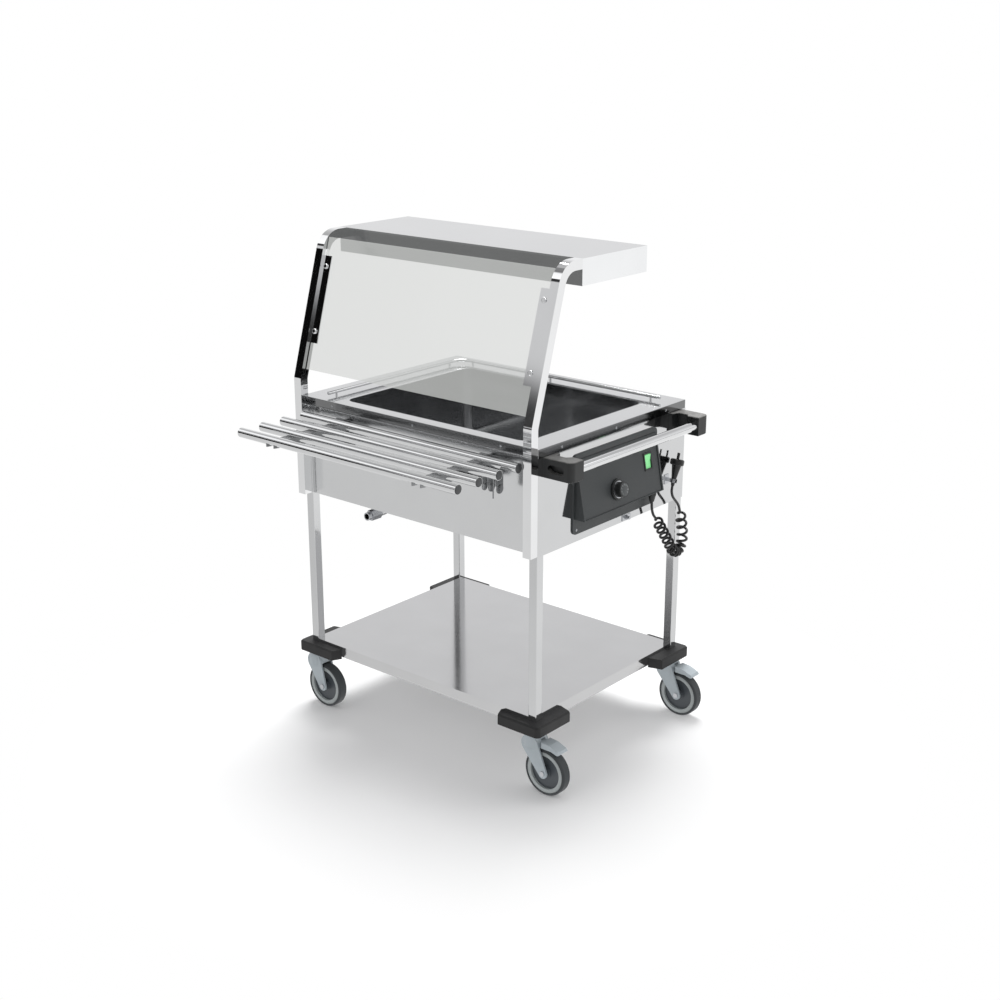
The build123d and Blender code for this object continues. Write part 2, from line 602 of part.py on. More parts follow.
def control_housing():
    half = BOX_LENGTH / 2
    shell = wedge(0, half, BOX_LOW, BOX_HIGH)
    front = wedge(FASCIA_SINK, half - BOX_CHEEK, BOX_LOW - 1, BOX_HIGH - 6)
    front_zone = wedge(-5, half - BOX_CHEEK, BOX_LOW + 2, BOX_HIGH - 6)
    shell -= front_zone - front
    shell -= wedge(FASCIA_SINK + BOX_WALL, half - BOX_CHEEK, BOX_LOW + BOX_WALL, BOX_HIGH - 30)
    knob_hole = fascia_plane(KNOB_Y, KNOB_Z) * extrude(Circle(5.0), BOX_WALL + 2, both=True)
    switch_hole = switch_plane() * extrude(Rectangle(SWITCH_WIDTH + 4, SWITCH_HEIGHT + 4), BOX_WALL + 2, both=True)
    return shell - knob_hole - switch_hole


def switch_plane():
    return fascia_plane(SWITCH_Y, SWITCH_Z)


def control_opening(low, high):
    """Opening through plate and end panel for the control parts' bodies."""
    return block((HALF_L - 10, HALF_L + 20), (KNOB_Y - 40, SWITCH_Y + 30), (low, high))


def control_back_plate():
    centre = Plane((HALF_L, 0, (PLATE_LOW + PLATE_HIGH) / 2), x_dir=(0, 1, 0), z_dir=(1, 0, 0))
    outline = RectangleRounded(PLATE_LENGTH, PLATE_HIGH - PLATE_LOW, PLATE_RADIUS)
    plate = centre * extrude(outline, PLATE_SHEET)
    plate = fillet(plate.faces().sort_by(Axis.X)[-1].edges(), 1.2)
    return plate - control_opening(BOX_LOW + 8, BOX_HIGH - 26)


def thermostat_knob():
    plane = fascia_plane(KNOB_Y, KNOB_Z)
    skirt = Pos(0, 0, ROCKER_GAP) * Cylinder(KNOB_SKIRT / 2, 5.0, align=(Align.CENTER, Align.CENTER, Align.MIN))
    skirt = chamfer(skirt.edges().sort_by(Axis.Z)[-1], 2.0)
    grip = Pos(0, 0, 4.0) * Cylinder(KNOB_GRIP / 2, KNOB_HEIGHT - 4, align=(Align.CENTER, Align.CENTER, Align.MIN))
    grip = fillet(grip.edges().sort_by(Axis.Z)[-1], 2.0)
    shaft = Pos(0, 0, -14.0) * Cylinder(3.0, 16.0, align=(Align.CENTER, Align.CENTER, Align.MIN))
    return plane * (skirt + grip + shaft)


def thermostat_body():
    plane = fascia_plane(KNOB_Y, KNOB_Z)
    body = Pos(0, 0, -BOX_WALL - 3.5) * Box(44, 44, 26, align=(Align.CENTER, Align.CENTER, Align.MAX))
    neck = Pos(0, 0, -BOX_WALL - 3.5) * Cylinder(4.8, 5.0, align=(Align.CENTER, Align.CENTER, Align.MIN))
    bore = Pos(0, 0, 2) * Cylinder(3.0 + RUN_GAP, 18, align=(Align.CENTER, Align.CENTER, Align.MAX))
    return plane * (body + neck - bore)


def switch_frame():
    plane = switch_plane()
    lip = Pos(0, 0, 0) * Box(SWITCH_WIDTH + 8, SWITCH_HEIGHT + 8, 2.0, align=(Align.CENTER, Align.CENTER, Align.MIN))
    case = Box(SWITCH_WIDTH + 3.6, SWITCH_HEIGHT + 3.6, 24, align=(Align.CENTER, Align.CENTER, Align.MAX))
    cavity = Pos(0, 0, 3) * Box(SWITCH_WIDTH, SWITCH_HEIGHT, 24, align=(Align.CENTER, Align.CENTER, Align.MAX))
    trunnions = Pos(0, 0, -8) * Rot(0, 90, 0) * Cylinder(1.5 + RUN_GAP, SWITCH_WIDTH + 2.4)
    return plane * (lip + case - cavity - trunnions)


def switch_rocker():
    """Rocker at rest with its lower half pressed in."""
    width = SWITCH_WIDTH - 2 * ROCKER_GAP
    half = SWITCH_HEIGHT / 2 - 0.9
    outline = [(-half, 4.5), (0, 2.6), (half, 4.5), (half, -1.0), (4.0, -6.0), (-4.0, -6.0), (-half, -1.0)]
    profile = make_face(Polyline(*[(-width / 2, y, z) for y, z in outline], close=True))
    body = extrude(profile, width, dir=(1, 0, 0)) + Pos(0, 0, -4) * Rot(0, 90, 0) * Cylinder(4.0, width)
    body += Pos(0, 0, -4) * Rot(0, 90, 0) * Cylinder(1.5, SWITCH_WIDTH + 2.0)
    return switch_plane() * Pos(0, 0, -8) * Rot(7, 0, 0) * Pos(0, 0, 4) * body


def terminal_block():
    low = BODY_BOTTOM + SHEET
    block_body = block((355, 381), (60, 132), (low, low + 24))
    for index in range(5):
        block_body -= rod((362 + 6, 67 + index * 14, low + 12), "Z", 6.0, 20)
    return block_body


# ---- mains lead -------------------------------------------------------------------------------
def cord_path(points):
    """Straight runs joined by tangent arcs, each as large as its two runs allow."""
    corners = [Vector(*point) for point in points]
    radii = []
    for before, here, after in zip(corners, corners[1:], corners[2:]):
        turn = (here - before).get_angle(after - here)
        shorter = min((here - before).length, (after - here).length)
        radii.append(0.45 * shorter / tan(radians(turn / 2)))
    return FilletPolyline(*corners, radius=radii), radii


def cord_tube(name, points, diameter):
    path, radii = cord_path(points)
    tube = sweep(Plane(path @ 0, z_dir=path % 0) * Circle(diameter / 2), path)
    expected = pi * diameter ** 2 / 4 * path.length
    print(f"{name}: {path.length:.0f} mm, radii {min(radii):.0f} to {max(radii):.0f} mm, "
          f"volume {tube.volume / expected:.3f} of section x length")
    return tube


def cable_gland():
    nut = Pos(GLAND_X, GLAND_Y, BOX_LOW) * extrude(RegularPolygon(GLAND_NUT / 2, 6), -9.0)
    dome = Pos(GLAND_X, GLAND_Y, LOWER_LEAD[0][2]) * Cone(CORD / 2 + 2.5, GLAND_NUT / 2 - 2,
                                                          BOX_LOW - 9 - LOWER_LEAD[0][2],
                                                          align=(Align.CENTER, Align.CENTER, Align.MIN))
    return nut + dome


def plug_frame():
    """Plane at the lead's end, its Z along the plug."""
    base = Vector(*UPPER_LEAD[-1])
    return Plane(base, x_dir=(1, 0, 0), z_dir=base - Vector(*UPPER_LEAD[-2]))


def mains_plug():
    seat = (Align.CENTER, Align.CENTER, Align.MIN)
    relief = Cone(CORD / 2 + 1.0, 7.0, PLUG_RELIEF, align=seat)
    grip = Pos(0, 0, PLUG_RELIEF) * Cone(7.0, PLUG_GRIP / 2, PLUG_BODY, align=seat)
    head = Cylinder(PLUG_HEAD / 2, PLUG_HEAD_THICK, align=seat)
    head = chamfer(head.edges().filter_by(GeomType.CIRCLE), 2.5)
    plug = relief + grip + Pos(0, 0, PLUG_RELIEF + PLUG_BODY) * head
    for side in (-1, 1):
        pin = Pos(0, side * PIN_PITCH / 2, PLUG_RELIEF + PLUG_BODY + PLUG_HEAD_THICK) * Cylinder(2.4, PIN_LENGTH, align=seat)
        plug += Rot(0, 0, PIN_TURN) * pin
    return plug_frame() * plug


def plug_clip():
    """Spring clip on the end panel that holds the plug by its strain relief."""
    seat = (Align.CENTER, Align.CENTER, Align.MIN)
    height = 10.0
    rise = 8.0
    inner = 7.2
    ring = Pos(0, 0, rise) * (Cylinder(inner + 2, height, align=seat) - Cylinder(inner, height, align=seat))
    ring -= Pos(10, 0, rise - 1) * Box(20, 9, height + 2, align=seat)
    clip = plug_frame() * ring
    y, z = UPPER_LEAD[-1][1] + 3.6, UPPER_LEAD[-1][2] + rise
    stem_end = UPPER_LEAD[-1][0] - inner - 1
    clip += block((HALF_L + 2, stem_end), (y - 4, y + 4), (z + 1, z + height - 1))
    return clip + block((HALF_L, HALF_L + 2.5), (y - 9, y + 9), (z - 8, z + height + 8))


# ---- drain and bonding ------------------------------------------------------------------------
def drain_pipe():
    top = TOP_HEIGHT - WELL_DEPTH + WELL_WALL
    path = FilletPolyline((DRAIN_X, DRAIN_Y, top), (DRAIN_X, DRAIN_Y, VALVE_Z),
                          (DRAIN_X, DRAIN_Y - 34, VALVE_Z), radius=18.0)
    frame = Plane(path @ 0, z_dir=path % 0)
    return sweep(frame * Circle(DRAIN_PIPE / 2), path) - sweep(frame * Circle(DRAIN_BORE / 2), path)


def drain_valve():
    """Ball valve: hexagonal body, spout and the boss for the lever's stem."""
    y = DRAIN_Y - 34
    seat = Plane((DRAIN_X, y, VALVE_Z), x_dir=(1, 0, 0), z_dir=(0, -1, 0))
    body = seat * extrude(RegularPolygon(VALVE_BODY / 2, 6), VALVE_LENGTH * 0.75)
    spout = rod((DRAIN_X, y - VALVE_LENGTH, VALVE_Z), "Y", DRAIN_PIPE, VALVE_LENGTH * 0.3)
    boss = rod((DRAIN_X, y - 16, VALVE_Z), "Z", 14.0, VALVE_BODY / 2)
    valve = body + spout + boss
    valve -= rod((DRAIN_X, y - VALVE_LENGTH - 1, VALVE_Z), "Y", DRAIN_BORE, VALVE_LENGTH + 2)
    return valve - rod((DRAIN_X, y - 16, VALVE_Z + 8), "Z", 6.0 + 2 * RUN_GAP, VALVE_BODY)


def valve_lever():
    y = DRAIN_Y - 50
    low = VALVE_Z + VALVE_BODY / 2 + 0.4
    stem = rod((DRAIN_X, y, VALVE_Z + 9), "Z", 6.0, low - VALVE_Z - 5)
    outline = SlotOverall(LEVER_LENGTH, 15.0)
    blade = Pos(DRAIN_X - LEVER_LENGTH / 2 + 9, y, low) * extrude(outline, 5.0)
    return stem + fillet(blade.faces().sort_by(Axis.Z)[-1].edges(), 1.5)


def bonding_lug():
    """Plated bonding terminal at the lower edge of the end panel."""
    y, z = 53.0, BODY_BOTTOM + 9
    foot = block((HALF_L, HALF_L + 2), (y - 18, y + 18), (z - 7, z + 7))
    return foot + rod((HALF_L + 2, y, z), "X", 8.0, 10.0) + rod((HALF_L + 2, y, z), "X", 12.0, 4.0)


# ---- castors ----------------------------------------------------------------------------------
def caster_place(name):
    sx, sy = CORNERS[name]
    trail = BRAKED_TRAIL if sx > 0 else PLAIN_TRAIL
    return sx * LEG_X, sy * LEG_Y, trail


def caster_stems():
    """Four plugs pressed into the legs, each with its bearing disc and king bolt."""
    plugs = []
    for name in CORNERS:
        x, y, _ = caster_place(name)
        plug = rod((x, y, LEG_FOOT), "Z", TUBE - 2 * TUBE_WALL - 1.0, 40.0)
        disc = rod((x, y, LEG_FOOT - 6), "Z", DISC, 6.0)
        bolt = rod((x, y, LEG_FOOT - 36), "Z", KING_BOLT, 36.0)
        plugs.append(plug + disc + bolt)
    return group(*plugs)


def caster_fork(name):
    """Moulded fork: round head under the bearing disc, two arms reaching back to the axle."""
    x, y, trail = caster_place(name)
    top = LEG_FOOT - 6.5
    inside = WHEEL_WIDTH + 2 * FORK_GAP
    outside_width = inside + 2 * FORK_WALL
    head_z = top - HEAD / 2 + 2
    circles = [Pos(0, head_z) * Circle(HEAD / 2 - 2), Pos(trail, WHEEL / 2) * Circle(13.0)]
    side = make_hull(ShapeList(circles[0].edges() + circles[1].edges()))
    plane = Plane((0, outside_width / 2, 0), x_dir=(1, 0, 0), z_dir=(0, -1, 0))
    fork = plane * extrude(side, outside_width)
    fork += rod((0, 0, top - 34), "Z", HEAD, 34.0)
    fork &= block((-60, 90), (-60, 60), (0, top))
    wheel_room = rod((trail, -inside / 2, WHEEL / 2), "Y", WHEEL + 8, inside)
    fork -= wheel_room
    fork -= rod((0, 0, 0), "Z", KING_BOLT + 2 * RUN_GAP, 200)
    fork -= rod((trail, -40, WHEEL / 2), "Y", AXLE + 0.1, 80)
    if name.endswith("right"):
        fork -= block((11, 60), (-8.5, 8.5), (120, 150))
        fork += rod((22, -9.5, 138), "Y", 6.0, 19.0)
        fork -= block((34, 120), (-60, 60), (127, 200))
    body = max(fork.solids(), key=lambda solid: solid.volume)
    return Pos(x, y, 0) * body


def brake_pedal(name):
    """Foot pedal hinged in the fork's head; pressing it down locks the wheel."""
    x, y, _ = caster_place(name)
    width = 36.0
    outline = [(34.8, 146), (60, 144), (86, 134), (91, 127), (84, 124.5), (66, 129.5), (34.8, 129.5)]
    face = make_face(Polyline(*[(px, -width / 2, pz) for px, pz in outline], close=True))
    pedal = extrude(face, width, dir=(0, 1, 0))
    pedal = fillet(pedal.edges().filter_by(Axis.Y).sort_by(Axis.X)[-3:], 2.0)
    tongue = block((15.5, 36), (-8.0, 8.0), (131.5, 144.5))
    pedal = pedal + tongue - rod((22, -20, 138), "Y", 6.0 + 2 * RUN_GAP, 40)
    return Pos(x, y, 0) * pedal


def caster_axle(name):
    x, y, trail = caster_place(name)
    half = WHEEL_WIDTH / 2 + FORK_GAP + FORK_WALL
    centre = (x + trail, y - half - 2.5, WHEEL / 2)
    axle = rod(centre, "Y", AXLE, 2 * half + 5)
    for start in (y - half - 2.5, y + half):
        axle += rod((x + trail, start, WHEEL / 2), "Y", 14.0, 2.5)
    return axle


def wheel_ring(name, outer, inner, width):
    x, y, trail = caster_place(name)
    start = (x + trail, y - width / 2, WHEEL / 2)
    return rod(start, "Y", outer, width) - rod(start, "Y", inner, width)


def caster_hub(name):
    """Wheel centre: rim, thinner web and a long boss on the axle."""
    rim = WHEEL - 2 * TYRE_THICK
    hub = wheel_ring(name, rim, rim - 16, WHEEL_WIDTH - 4)
    hub += wheel_ring(name, rim - 15, AXLE + 2 * RUN_GAP, 14.0)
    return hub + wheel_ring(name, 22.0, AXLE + 2 * RUN_GAP, WHEEL_WIDTH + 2 * FORK_GAP - 1)


def caster_tyre(name):
    tyre = wheel_ring(name, WHEEL, WHEEL - 2 * TYRE_THICK, WHEEL_WIDTH)
    rims = [edge for edge in tyre.edges().filter_by(GeomType.CIRCLE) if abs(edge.radius - WHEEL / 2) < 0.1]
    return fillet(rims, 5.0)


# ---- the trolley ------------------------------------------------------------------------------
def parts():
    """Every node's name and solid, about the middle of the counter top."""
    nodes = {
        "legs": legs(),
        "bottom_shelf": bottom_shelf(),
        "corner_bumpers": corner_bumpers(),
        "end_panel_left": end_panel(-1),
        "end_panel_right": end_panel(1) - control_opening(BOX_LOW + 8, BOX_HIGH - 26),
        "front_panel": long_panel(-1),
        "back_panel": long_panel(1),
        "bottom_cover": bottom_cover(),
        "top_plate": top_plate(),
        "well_basin": well_basin(),
        "well_heater": well_heater(),
        "gallery_rail": gallery_rail(),
        "hood_posts": mirrored_pair(hood_post(), Plane.YZ),
        "hood_shelf": hood_shelf(),
        "glass_pane": glass_pane(),
        "glass_flanges": glass_flanges(),
        "glass_screws": screw_set(0, True),
        "tray_tubes": tray_tubes(),
        "tray_arms": tray_arms(),
        "tray_brackets": tray_brackets(),
        "tray_lock_pin_left": tray_lock_pin(-1),
        "tray_lock_pin_right": tray_lock_pin(1),
        "handle_tube": handle_tube(),
        "handle_brackets": handle_brackets(),
        "control_housing": control_housing(),
        "control_back_plate": control_back_plate(),
        "thermostat_knob": thermostat_knob(),
        "thermostat_body": thermostat_body(),
        "switch_frame": switch_frame(),
        "switch_rocker": switch_rocker(),
        "terminal_block": terminal_block(),
        "cable_gland": cable_gland(),
        "mains_lead_lower": cord_tube("mains_lead_lower", LOWER_LEAD, CORD),
        "mains_lead_coil": cord_tube("mains_lead_coil", COIL_ROUTE, COIL),
        "mains_lead_upper": cord_tube("mains_lead_upper", UPPER_LEAD, CORD),
        "mains_plug": mains_plug(),
        "plug_clip": plug_clip(),
        "drain_pipe": drain_pipe(),
        "drain_valve": drain_valve(),
        "valve_lever": valve_lever(),
        "bonding_lug": bonding_lug(),
        "caster_stems": caster_stems(),
    }
    for name in CORNERS:
        nodes[f"caster_fork_{name}"] = caster_fork(name)
        nodes[f"caster_axle_{name}"] = caster_axle(name)
        nodes[f"caster_hub_{name}"] = caster_hub(name)
        nodes[f"caster_tyre_{name}"] = caster_tyre(name)
        if name.endswith("right"):
            nodes[f"brake_pedal_{name}"] = brake_pedal(name)
    return nodes


def place(shape):
    """Moves a node so that the origin is on the floor under the middle of the whole trolley."""
    moved = [Pos(*(CENTRE * -1)) * solid for solid in shape.solids()]
    return moved[0] if len(moved) == 1 else Compound(children=moved)


def main():
    os.makedirs("parts", exist_ok=True)
    for name, shape in parts().items():
        export_step(place(shape), f"parts/{name}.step")


if __name__ == "__main__":
    main()
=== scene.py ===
# %% [markdown]
# # A heated food trolley
# This lesson dresses a finished engineering model. The model gives every piece its exact place;
# Blender gives each one its surface, and adds the small shapes that a solid modeller leaves out:
# a curly mains lead, a numbered dial, wheel centres, screws and a plug. The trolley stands on
# four castors. Its customers are at -Y, its staff at +Y, and its handle and controls at +X.

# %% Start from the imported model
import json
import math

import bpy
from mathutils import Matrix, Vector

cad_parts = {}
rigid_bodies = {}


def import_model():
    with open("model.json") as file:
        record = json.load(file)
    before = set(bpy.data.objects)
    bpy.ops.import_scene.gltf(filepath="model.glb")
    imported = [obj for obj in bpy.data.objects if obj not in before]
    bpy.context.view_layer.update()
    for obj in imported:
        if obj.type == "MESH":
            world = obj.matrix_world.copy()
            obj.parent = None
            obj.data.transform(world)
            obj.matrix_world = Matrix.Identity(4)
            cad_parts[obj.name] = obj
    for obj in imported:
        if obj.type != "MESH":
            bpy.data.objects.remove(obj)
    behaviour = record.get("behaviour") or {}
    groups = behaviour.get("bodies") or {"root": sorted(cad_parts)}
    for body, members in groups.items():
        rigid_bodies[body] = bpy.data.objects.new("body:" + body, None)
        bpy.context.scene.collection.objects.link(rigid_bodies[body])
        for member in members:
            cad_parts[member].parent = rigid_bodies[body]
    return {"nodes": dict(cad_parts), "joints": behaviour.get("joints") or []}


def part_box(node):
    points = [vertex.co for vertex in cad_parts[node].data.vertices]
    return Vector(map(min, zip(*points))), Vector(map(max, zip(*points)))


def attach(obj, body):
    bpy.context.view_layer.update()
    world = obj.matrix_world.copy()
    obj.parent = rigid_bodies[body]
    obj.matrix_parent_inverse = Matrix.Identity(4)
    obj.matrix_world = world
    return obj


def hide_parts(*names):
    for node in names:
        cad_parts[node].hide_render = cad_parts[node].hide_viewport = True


bpy.ops.object.select_all(action="SELECT")
bpy.ops.object.delete()
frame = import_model()
nodes = frame["nodes"]
joints = {joint["name"]: joint for joint in frame["joints"]}
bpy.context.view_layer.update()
print(f"{len(nodes)} pieces, {len(joints)} joints")

# %% [markdown]
# ## The camera
# The trolley is seen from its front right corner, a little from above. A lens of about 55 mm at
# four metres keeps its uprights nearly parallel. The camera is made first, because the cord
# check looks through it.

# %% Place the camera
CAMERA_PLACE = Vector((2.5308, -2.8885, 1.9130))
CAMERA_AIM = Vector((-0.0070, 0.1155, 0.6178))
LENS, SENSOR_WIDTH = 55.11, 36.0
bpy.ops.object.camera_add(location=CAMERA_PLACE)
camera = bpy.context.active_object
camera.rotation_mode = "QUATERNION"
camera.rotation_quaternion = (CAMERA_AIM - CAMERA_PLACE).to_track_quat("-Z", "Y")
camera.data.lens = LENS
camera.data.sensor_width = SENSOR_WIDTH
bpy.context.scene.camera = camera
bpy.context.scene.view_settings.view_transform = "Standard"
print(f"camera {(CAMERA_AIM - CAMERA_PLACE).length:.2f} m from its aim")

# %% [markdown]
# ## The curly mains lead
# A curly lead is a plain round lead that was wound on a rod and baked, so it springs back into
# a helix. It could be a texture on a fat tube, but its open turns show daylight between them.
# So the route is first a smooth line through a few points. The helix is then walked round that
# line: each step along the line also turns a little, and turns faster at the bottom, where the
# hanging loop bunches its turns together.

# %% The lead's size and route
LEAD = 0.007
CURL_RADIUS = 0.0125
OPEN_PITCH, TIGHT_PITCH = 0.0225, 0.0085
BUNCHED_REACH = 0.030
CURL_EASE = 0.012
STEP = 0.0009
ROUTE = [
    (0.39175, 0.2555, 0.6640), (0.39175, 0.2555, 0.6500), (0.39175, 0.2585, 0.6365),
    (0.39175, 0.2645, 0.6235), (0.39575, 0.2725, 0.6120), (0.39575, 0.2845, 0.59475),
    (0.39575, 0.3005, 0.5750), (0.39575, 0.3165, 0.5530), (0.39575, 0.3335, 0.5315),
    (0.39575, 0.3465, 0.5100), (0.39575, 0.3615, 0.4960), (0.39575, 0.3775, 0.4920),
    (0.39575, 0.3915, 0.5000), (0.39575, 0.3995, 0.5170), (0.39575, 0.4000, 0.5430),
    (0.39575, 0.3925, 0.5750), (0.39575, 0.3835, 0.6040), (0.39575, 0.3790, 0.6185),
    (0.39575, 0.3700, 0.6310), (0.39575, 0.3590, 0.6415), (0.39575, 0.3490, 0.6515),
    (0.39575, 0.3425, 0.6625), (0.39575, 0.3400, 0.6745), (0.39575, 0.3435, 0.6860),
]
CURL_FROM, CURL_TO = ROUTE[4], ROUTE[16]
print(f"the lead's route has {len(ROUTE)} points")


# %% Helpers for lines
def smooth_curve(name, points, resolution):
    """A curve object whose points pull a smooth line towards them."""
    data = bpy.data.curves.new(name, "CURVE")
    data.dimensions = "3D"
    data.resolution_u = resolution
    spline = data.splines.new("NURBS")
    spline.points.add(len(points) - 1)
    for place, point in zip(spline.points, points):
        place.co = (*point, 1.0)
    spline.order_u = 3
    spline.use_endpoint_u = True
    curve = bpy.data.objects.new(name, data)
    bpy.context.scene.collection.objects.link(curve)
    return curve


def line_of(curve):
    """The points along a curve that has no thickness."""
    mesh = bpy.data.meshes.new_from_object(curve)
    points = [vertex.co.copy() for vertex in mesh.vertices]
    bpy.data.meshes.remove(mesh)
    return points


def even_steps(points, step):
    """The same line again, with its points evenly spaced."""
    out, left = [points[0].copy()], step
    for start, end in zip(points, points[1:]):
        run = (end - start).length
        gone = left
        while gone <= run:
            out.append(start.lerp(end, gone / run))
            gone += step
        left = gone - run
    return out + [points[-1].copy()]


def nearest_index(points, place):
    return min(range(len(points)), key=lambda i: (points[i] - Vector(place)).length)


route_curve = smooth_curve("lead_route", ROUTE, resolution=12)
route = even_steps(line_of(route_curve), STEP)
bpy.data.objects.remove(route_curve)
print(f"{len(route)} steps along the route")

# %% Wind the helix round the route
first, last = nearest_index(route, CURL_FROM), nearest_index(route, CURL_TO)
lowest = min(range(len(route)), key=lambda i: route[i].z)
curl_line, wound = [], 0.0
side = Vector((1, 0, 0))
for i, point in enumerate(route):
    ahead = route[min(i + 1, len(route) - 1)] - route[max(i - 1, 0)]
    ahead.normalize()
    up = ahead.cross(side).normalized()
    if first <= i <= last:
        near_bottom = math.exp(-(((i - lowest) * STEP / BUNCHED_REACH) ** 2))
        pitch = OPEN_PITCH + (TIGHT_PITCH - OPEN_PITCH) * near_bottom
        wound += 2 * math.pi * STEP / pitch
    since_start, before_end = (i - first) * STEP / CURL_EASE, (last - i) * STEP / CURL_EASE
    into = min(1.0, max(0.0, since_start), max(0.0, before_end))
    into = into * into * (3 - 2 * into) if first < i < last else 0.0
    swing = Matrix.Rotation(wound, 3, ahead) @ up
    curl_line.append(point + swing * CURL_RADIUS * into)
print(f"{wound / 2 / math.pi:.1f} turns")

# %% Give the lead its thickness
lead = smooth_curve("mains_lead", curl_line, resolution=2)
lead_line = line_of(lead)
lead.data.bevel_depth = LEAD / 2
lead.data.bevel_resolution = 3
lead.data.use_fill_caps = True
bpy.ops.object.select_all(action="DESELECT")
lead.select_set(True)
bpy.context.view_layer.objects.active = lead
bpy.ops.object.convert(target="MESH")
lead = bpy.context.active_object
bpy.ops.object.shade_smooth_by_angle(angle=math.radians(40))
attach(lead, "trolley")
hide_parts("mains_lead_lower", "mains_lead_coil", "mains_lead_upper")

# %% [markdown]
# ## Shared surface effects
# Stainless sheet is never quite even: rolling and polishing leave fine lines along the sheet,
# and hands and cloths leave soft smears. Plastic has a fine moulded grain. Each effect is made
# once as a group of nodes and used by many materials, each with its own amounts, so a change
# to the group changes them all.


# %% Helpers for nodes
def feed(tree, socket, value):
    """Links another node's socket, or sets a number or a colour."""
    if isinstance(value, bpy.types.NodeSocket):
        tree.links.new(value, socket)
    else:
        socket.default_value = value


def new_group(name, inputs, outputs):
    """An empty shader group with named number, colour and vector sockets."""
    group = bpy.data.node_groups.new(name, "ShaderNodeTree")
    for label, kind, value in inputs:
        socket = group.interface.new_socket(label, in_out="INPUT", socket_type=kind)
        socket.default_value = value
    for label, kind in outputs:
        group.interface.new_socket(label, in_out="OUTPUT", socket_type=kind)
    return group, group.nodes.new("NodeGroupInput"), group.nodes.new("NodeGroupOutput")


def inputs_of(group):
    return [socket.name for socket in group.interface.items_tree if socket.in_out == "INPUT"]


def noise_node(tree, where, scale, detail, roughness=0.5):
    """A cloudy pattern over the coordinates that it is fed."""
    node = tree.nodes.new("ShaderNodeTexNoise")
    feed(tree, node.inputs["Vector"], where)
    for label, value in (("Scale", scale), ("Detail", detail), ("Roughness", roughness)):
        feed(tree, node.inputs[label], value)
    return node.outputs["Fac"]


def math_node(tree, operation, *values):
    """One sum of sockets and numbers."""
    node = tree.nodes.new("ShaderNodeMath")
    node.operation = operation
    for socket, value in zip(node.inputs, values):
        feed(tree, socket, value)
    return node.outputs[0]


def map_range(tree, value, low, high, start=0.3, stop=0.7):
    """Stretches start-stop to low-high; a noise mostly lies in 0.3-0.7."""
    node = tree.nodes.new("ShaderNodeMapRange")
    for label, number in (("Value", value), ("From Min", start), ("From Max", stop),
                          ("To Min", low), ("To Max", high)):
        feed(tree, node.inputs[label], number)
    return node.outputs["Result"]


def mix_node(tree, factor, first_color, second_color, blend="MIX"):
    """Two colours, mixed or multiplied by a factor."""
    node = tree.nodes.new("ShaderNodeMix")
    node.data_type = "RGBA"
    node.blend_type = blend
    for index, value in ((0, factor), (6, first_color), (7, second_color)):
        feed(tree, node.inputs[index], value)
    return node.outputs[2]


def facing_parts(tree):
    """How far the surface looks along X, Y and Z."""
    facing = tree.nodes.new("ShaderNodeNewGeometry")
    split = tree.nodes.new("ShaderNodeSeparateXYZ")
    tree.links.new(facing.outputs["Normal"], split.inputs[0])
    return split.outputs


NUMBER, COLOR, VECTOR = "NodeSocketFloat", "NodeSocketColor", "NodeSocketVector"
SURFACE_RESULTS = [("Roughness", NUMBER), ("Height", NUMBER), ("Tone", NUMBER)]
print("an effect puts out:", [label for label, _ in SURFACE_RESULTS])


# %% Brushed sheet
def build_brushed_group():
    """Fine lines along one direction, and soft smears over them."""
    group, given, result = new_group(
        "Brushed sheet",
        [("Vector", VECTOR, (0, 0, 0)), ("Stretch", VECTOR, (6, 900, 900)), ("Smooth", NUMBER, 0.2),
         ("Rough", NUMBER, 0.3), ("Smears", NUMBER, 0.06)], SURFACE_RESULTS)
    where = given.outputs["Vector"]
    stretch = group.nodes.new("ShaderNodeVectorMath")
    stretch.operation = "MULTIPLY"
    feed(group, stretch.inputs[0], where)
    feed(group, stretch.inputs[1], given.outputs["Stretch"])
    lines = noise_node(group, stretch.outputs[0], 1.0, 3.0, 0.6)
    smear = noise_node(group, where, 7.0, 3.0)
    grain = map_range(group, lines, given.outputs["Smooth"], given.outputs["Rough"])
    wiped = math_node(group, "MULTIPLY", map_range(group, smear, -1.0, 1.0), given.outputs["Smears"])
    feed(group, result.inputs["Roughness"], math_node(group, "ADD", grain, wiped))
    feed(group, result.inputs["Height"], lines)
    feed(group, result.inputs["Tone"], map_range(group, smear, 0.96, 1.0))
    return group


BRUSHED = build_brushed_group()
print(BRUSHED.name, "takes", inputs_of(BRUSHED))


# %% Moulded grain
def build_moulded_group():
    """Fine pimples of a moulded surface, and a slow change of shine."""
    group, given, result = new_group(
        "Moulded grain",
        [("Vector", VECTOR, (0, 0, 0)), ("Grain size", NUMBER, 1400.0), ("Smooth", NUMBER, 0.4),
         ("Rough", NUMBER, 0.55)], SURFACE_RESULTS)
    where = given.outputs["Vector"]
    pimples = noise_node(group, where, given.outputs["Grain size"], 2.0)
    slow = noise_node(group, where, 14.0, 3.0)
    shine = map_range(group, slow, given.outputs["Smooth"], given.outputs["Rough"])
    feed(group, result.inputs["Roughness"], shine)
    feed(group, result.inputs["Height"], pimples)
    feed(group, result.inputs["Tone"], map_range(group, slow, 0.9, 1.08))
    return group


MOULDED = build_moulded_group()
print(MOULDED.name, "takes", inputs_of(MOULDED))


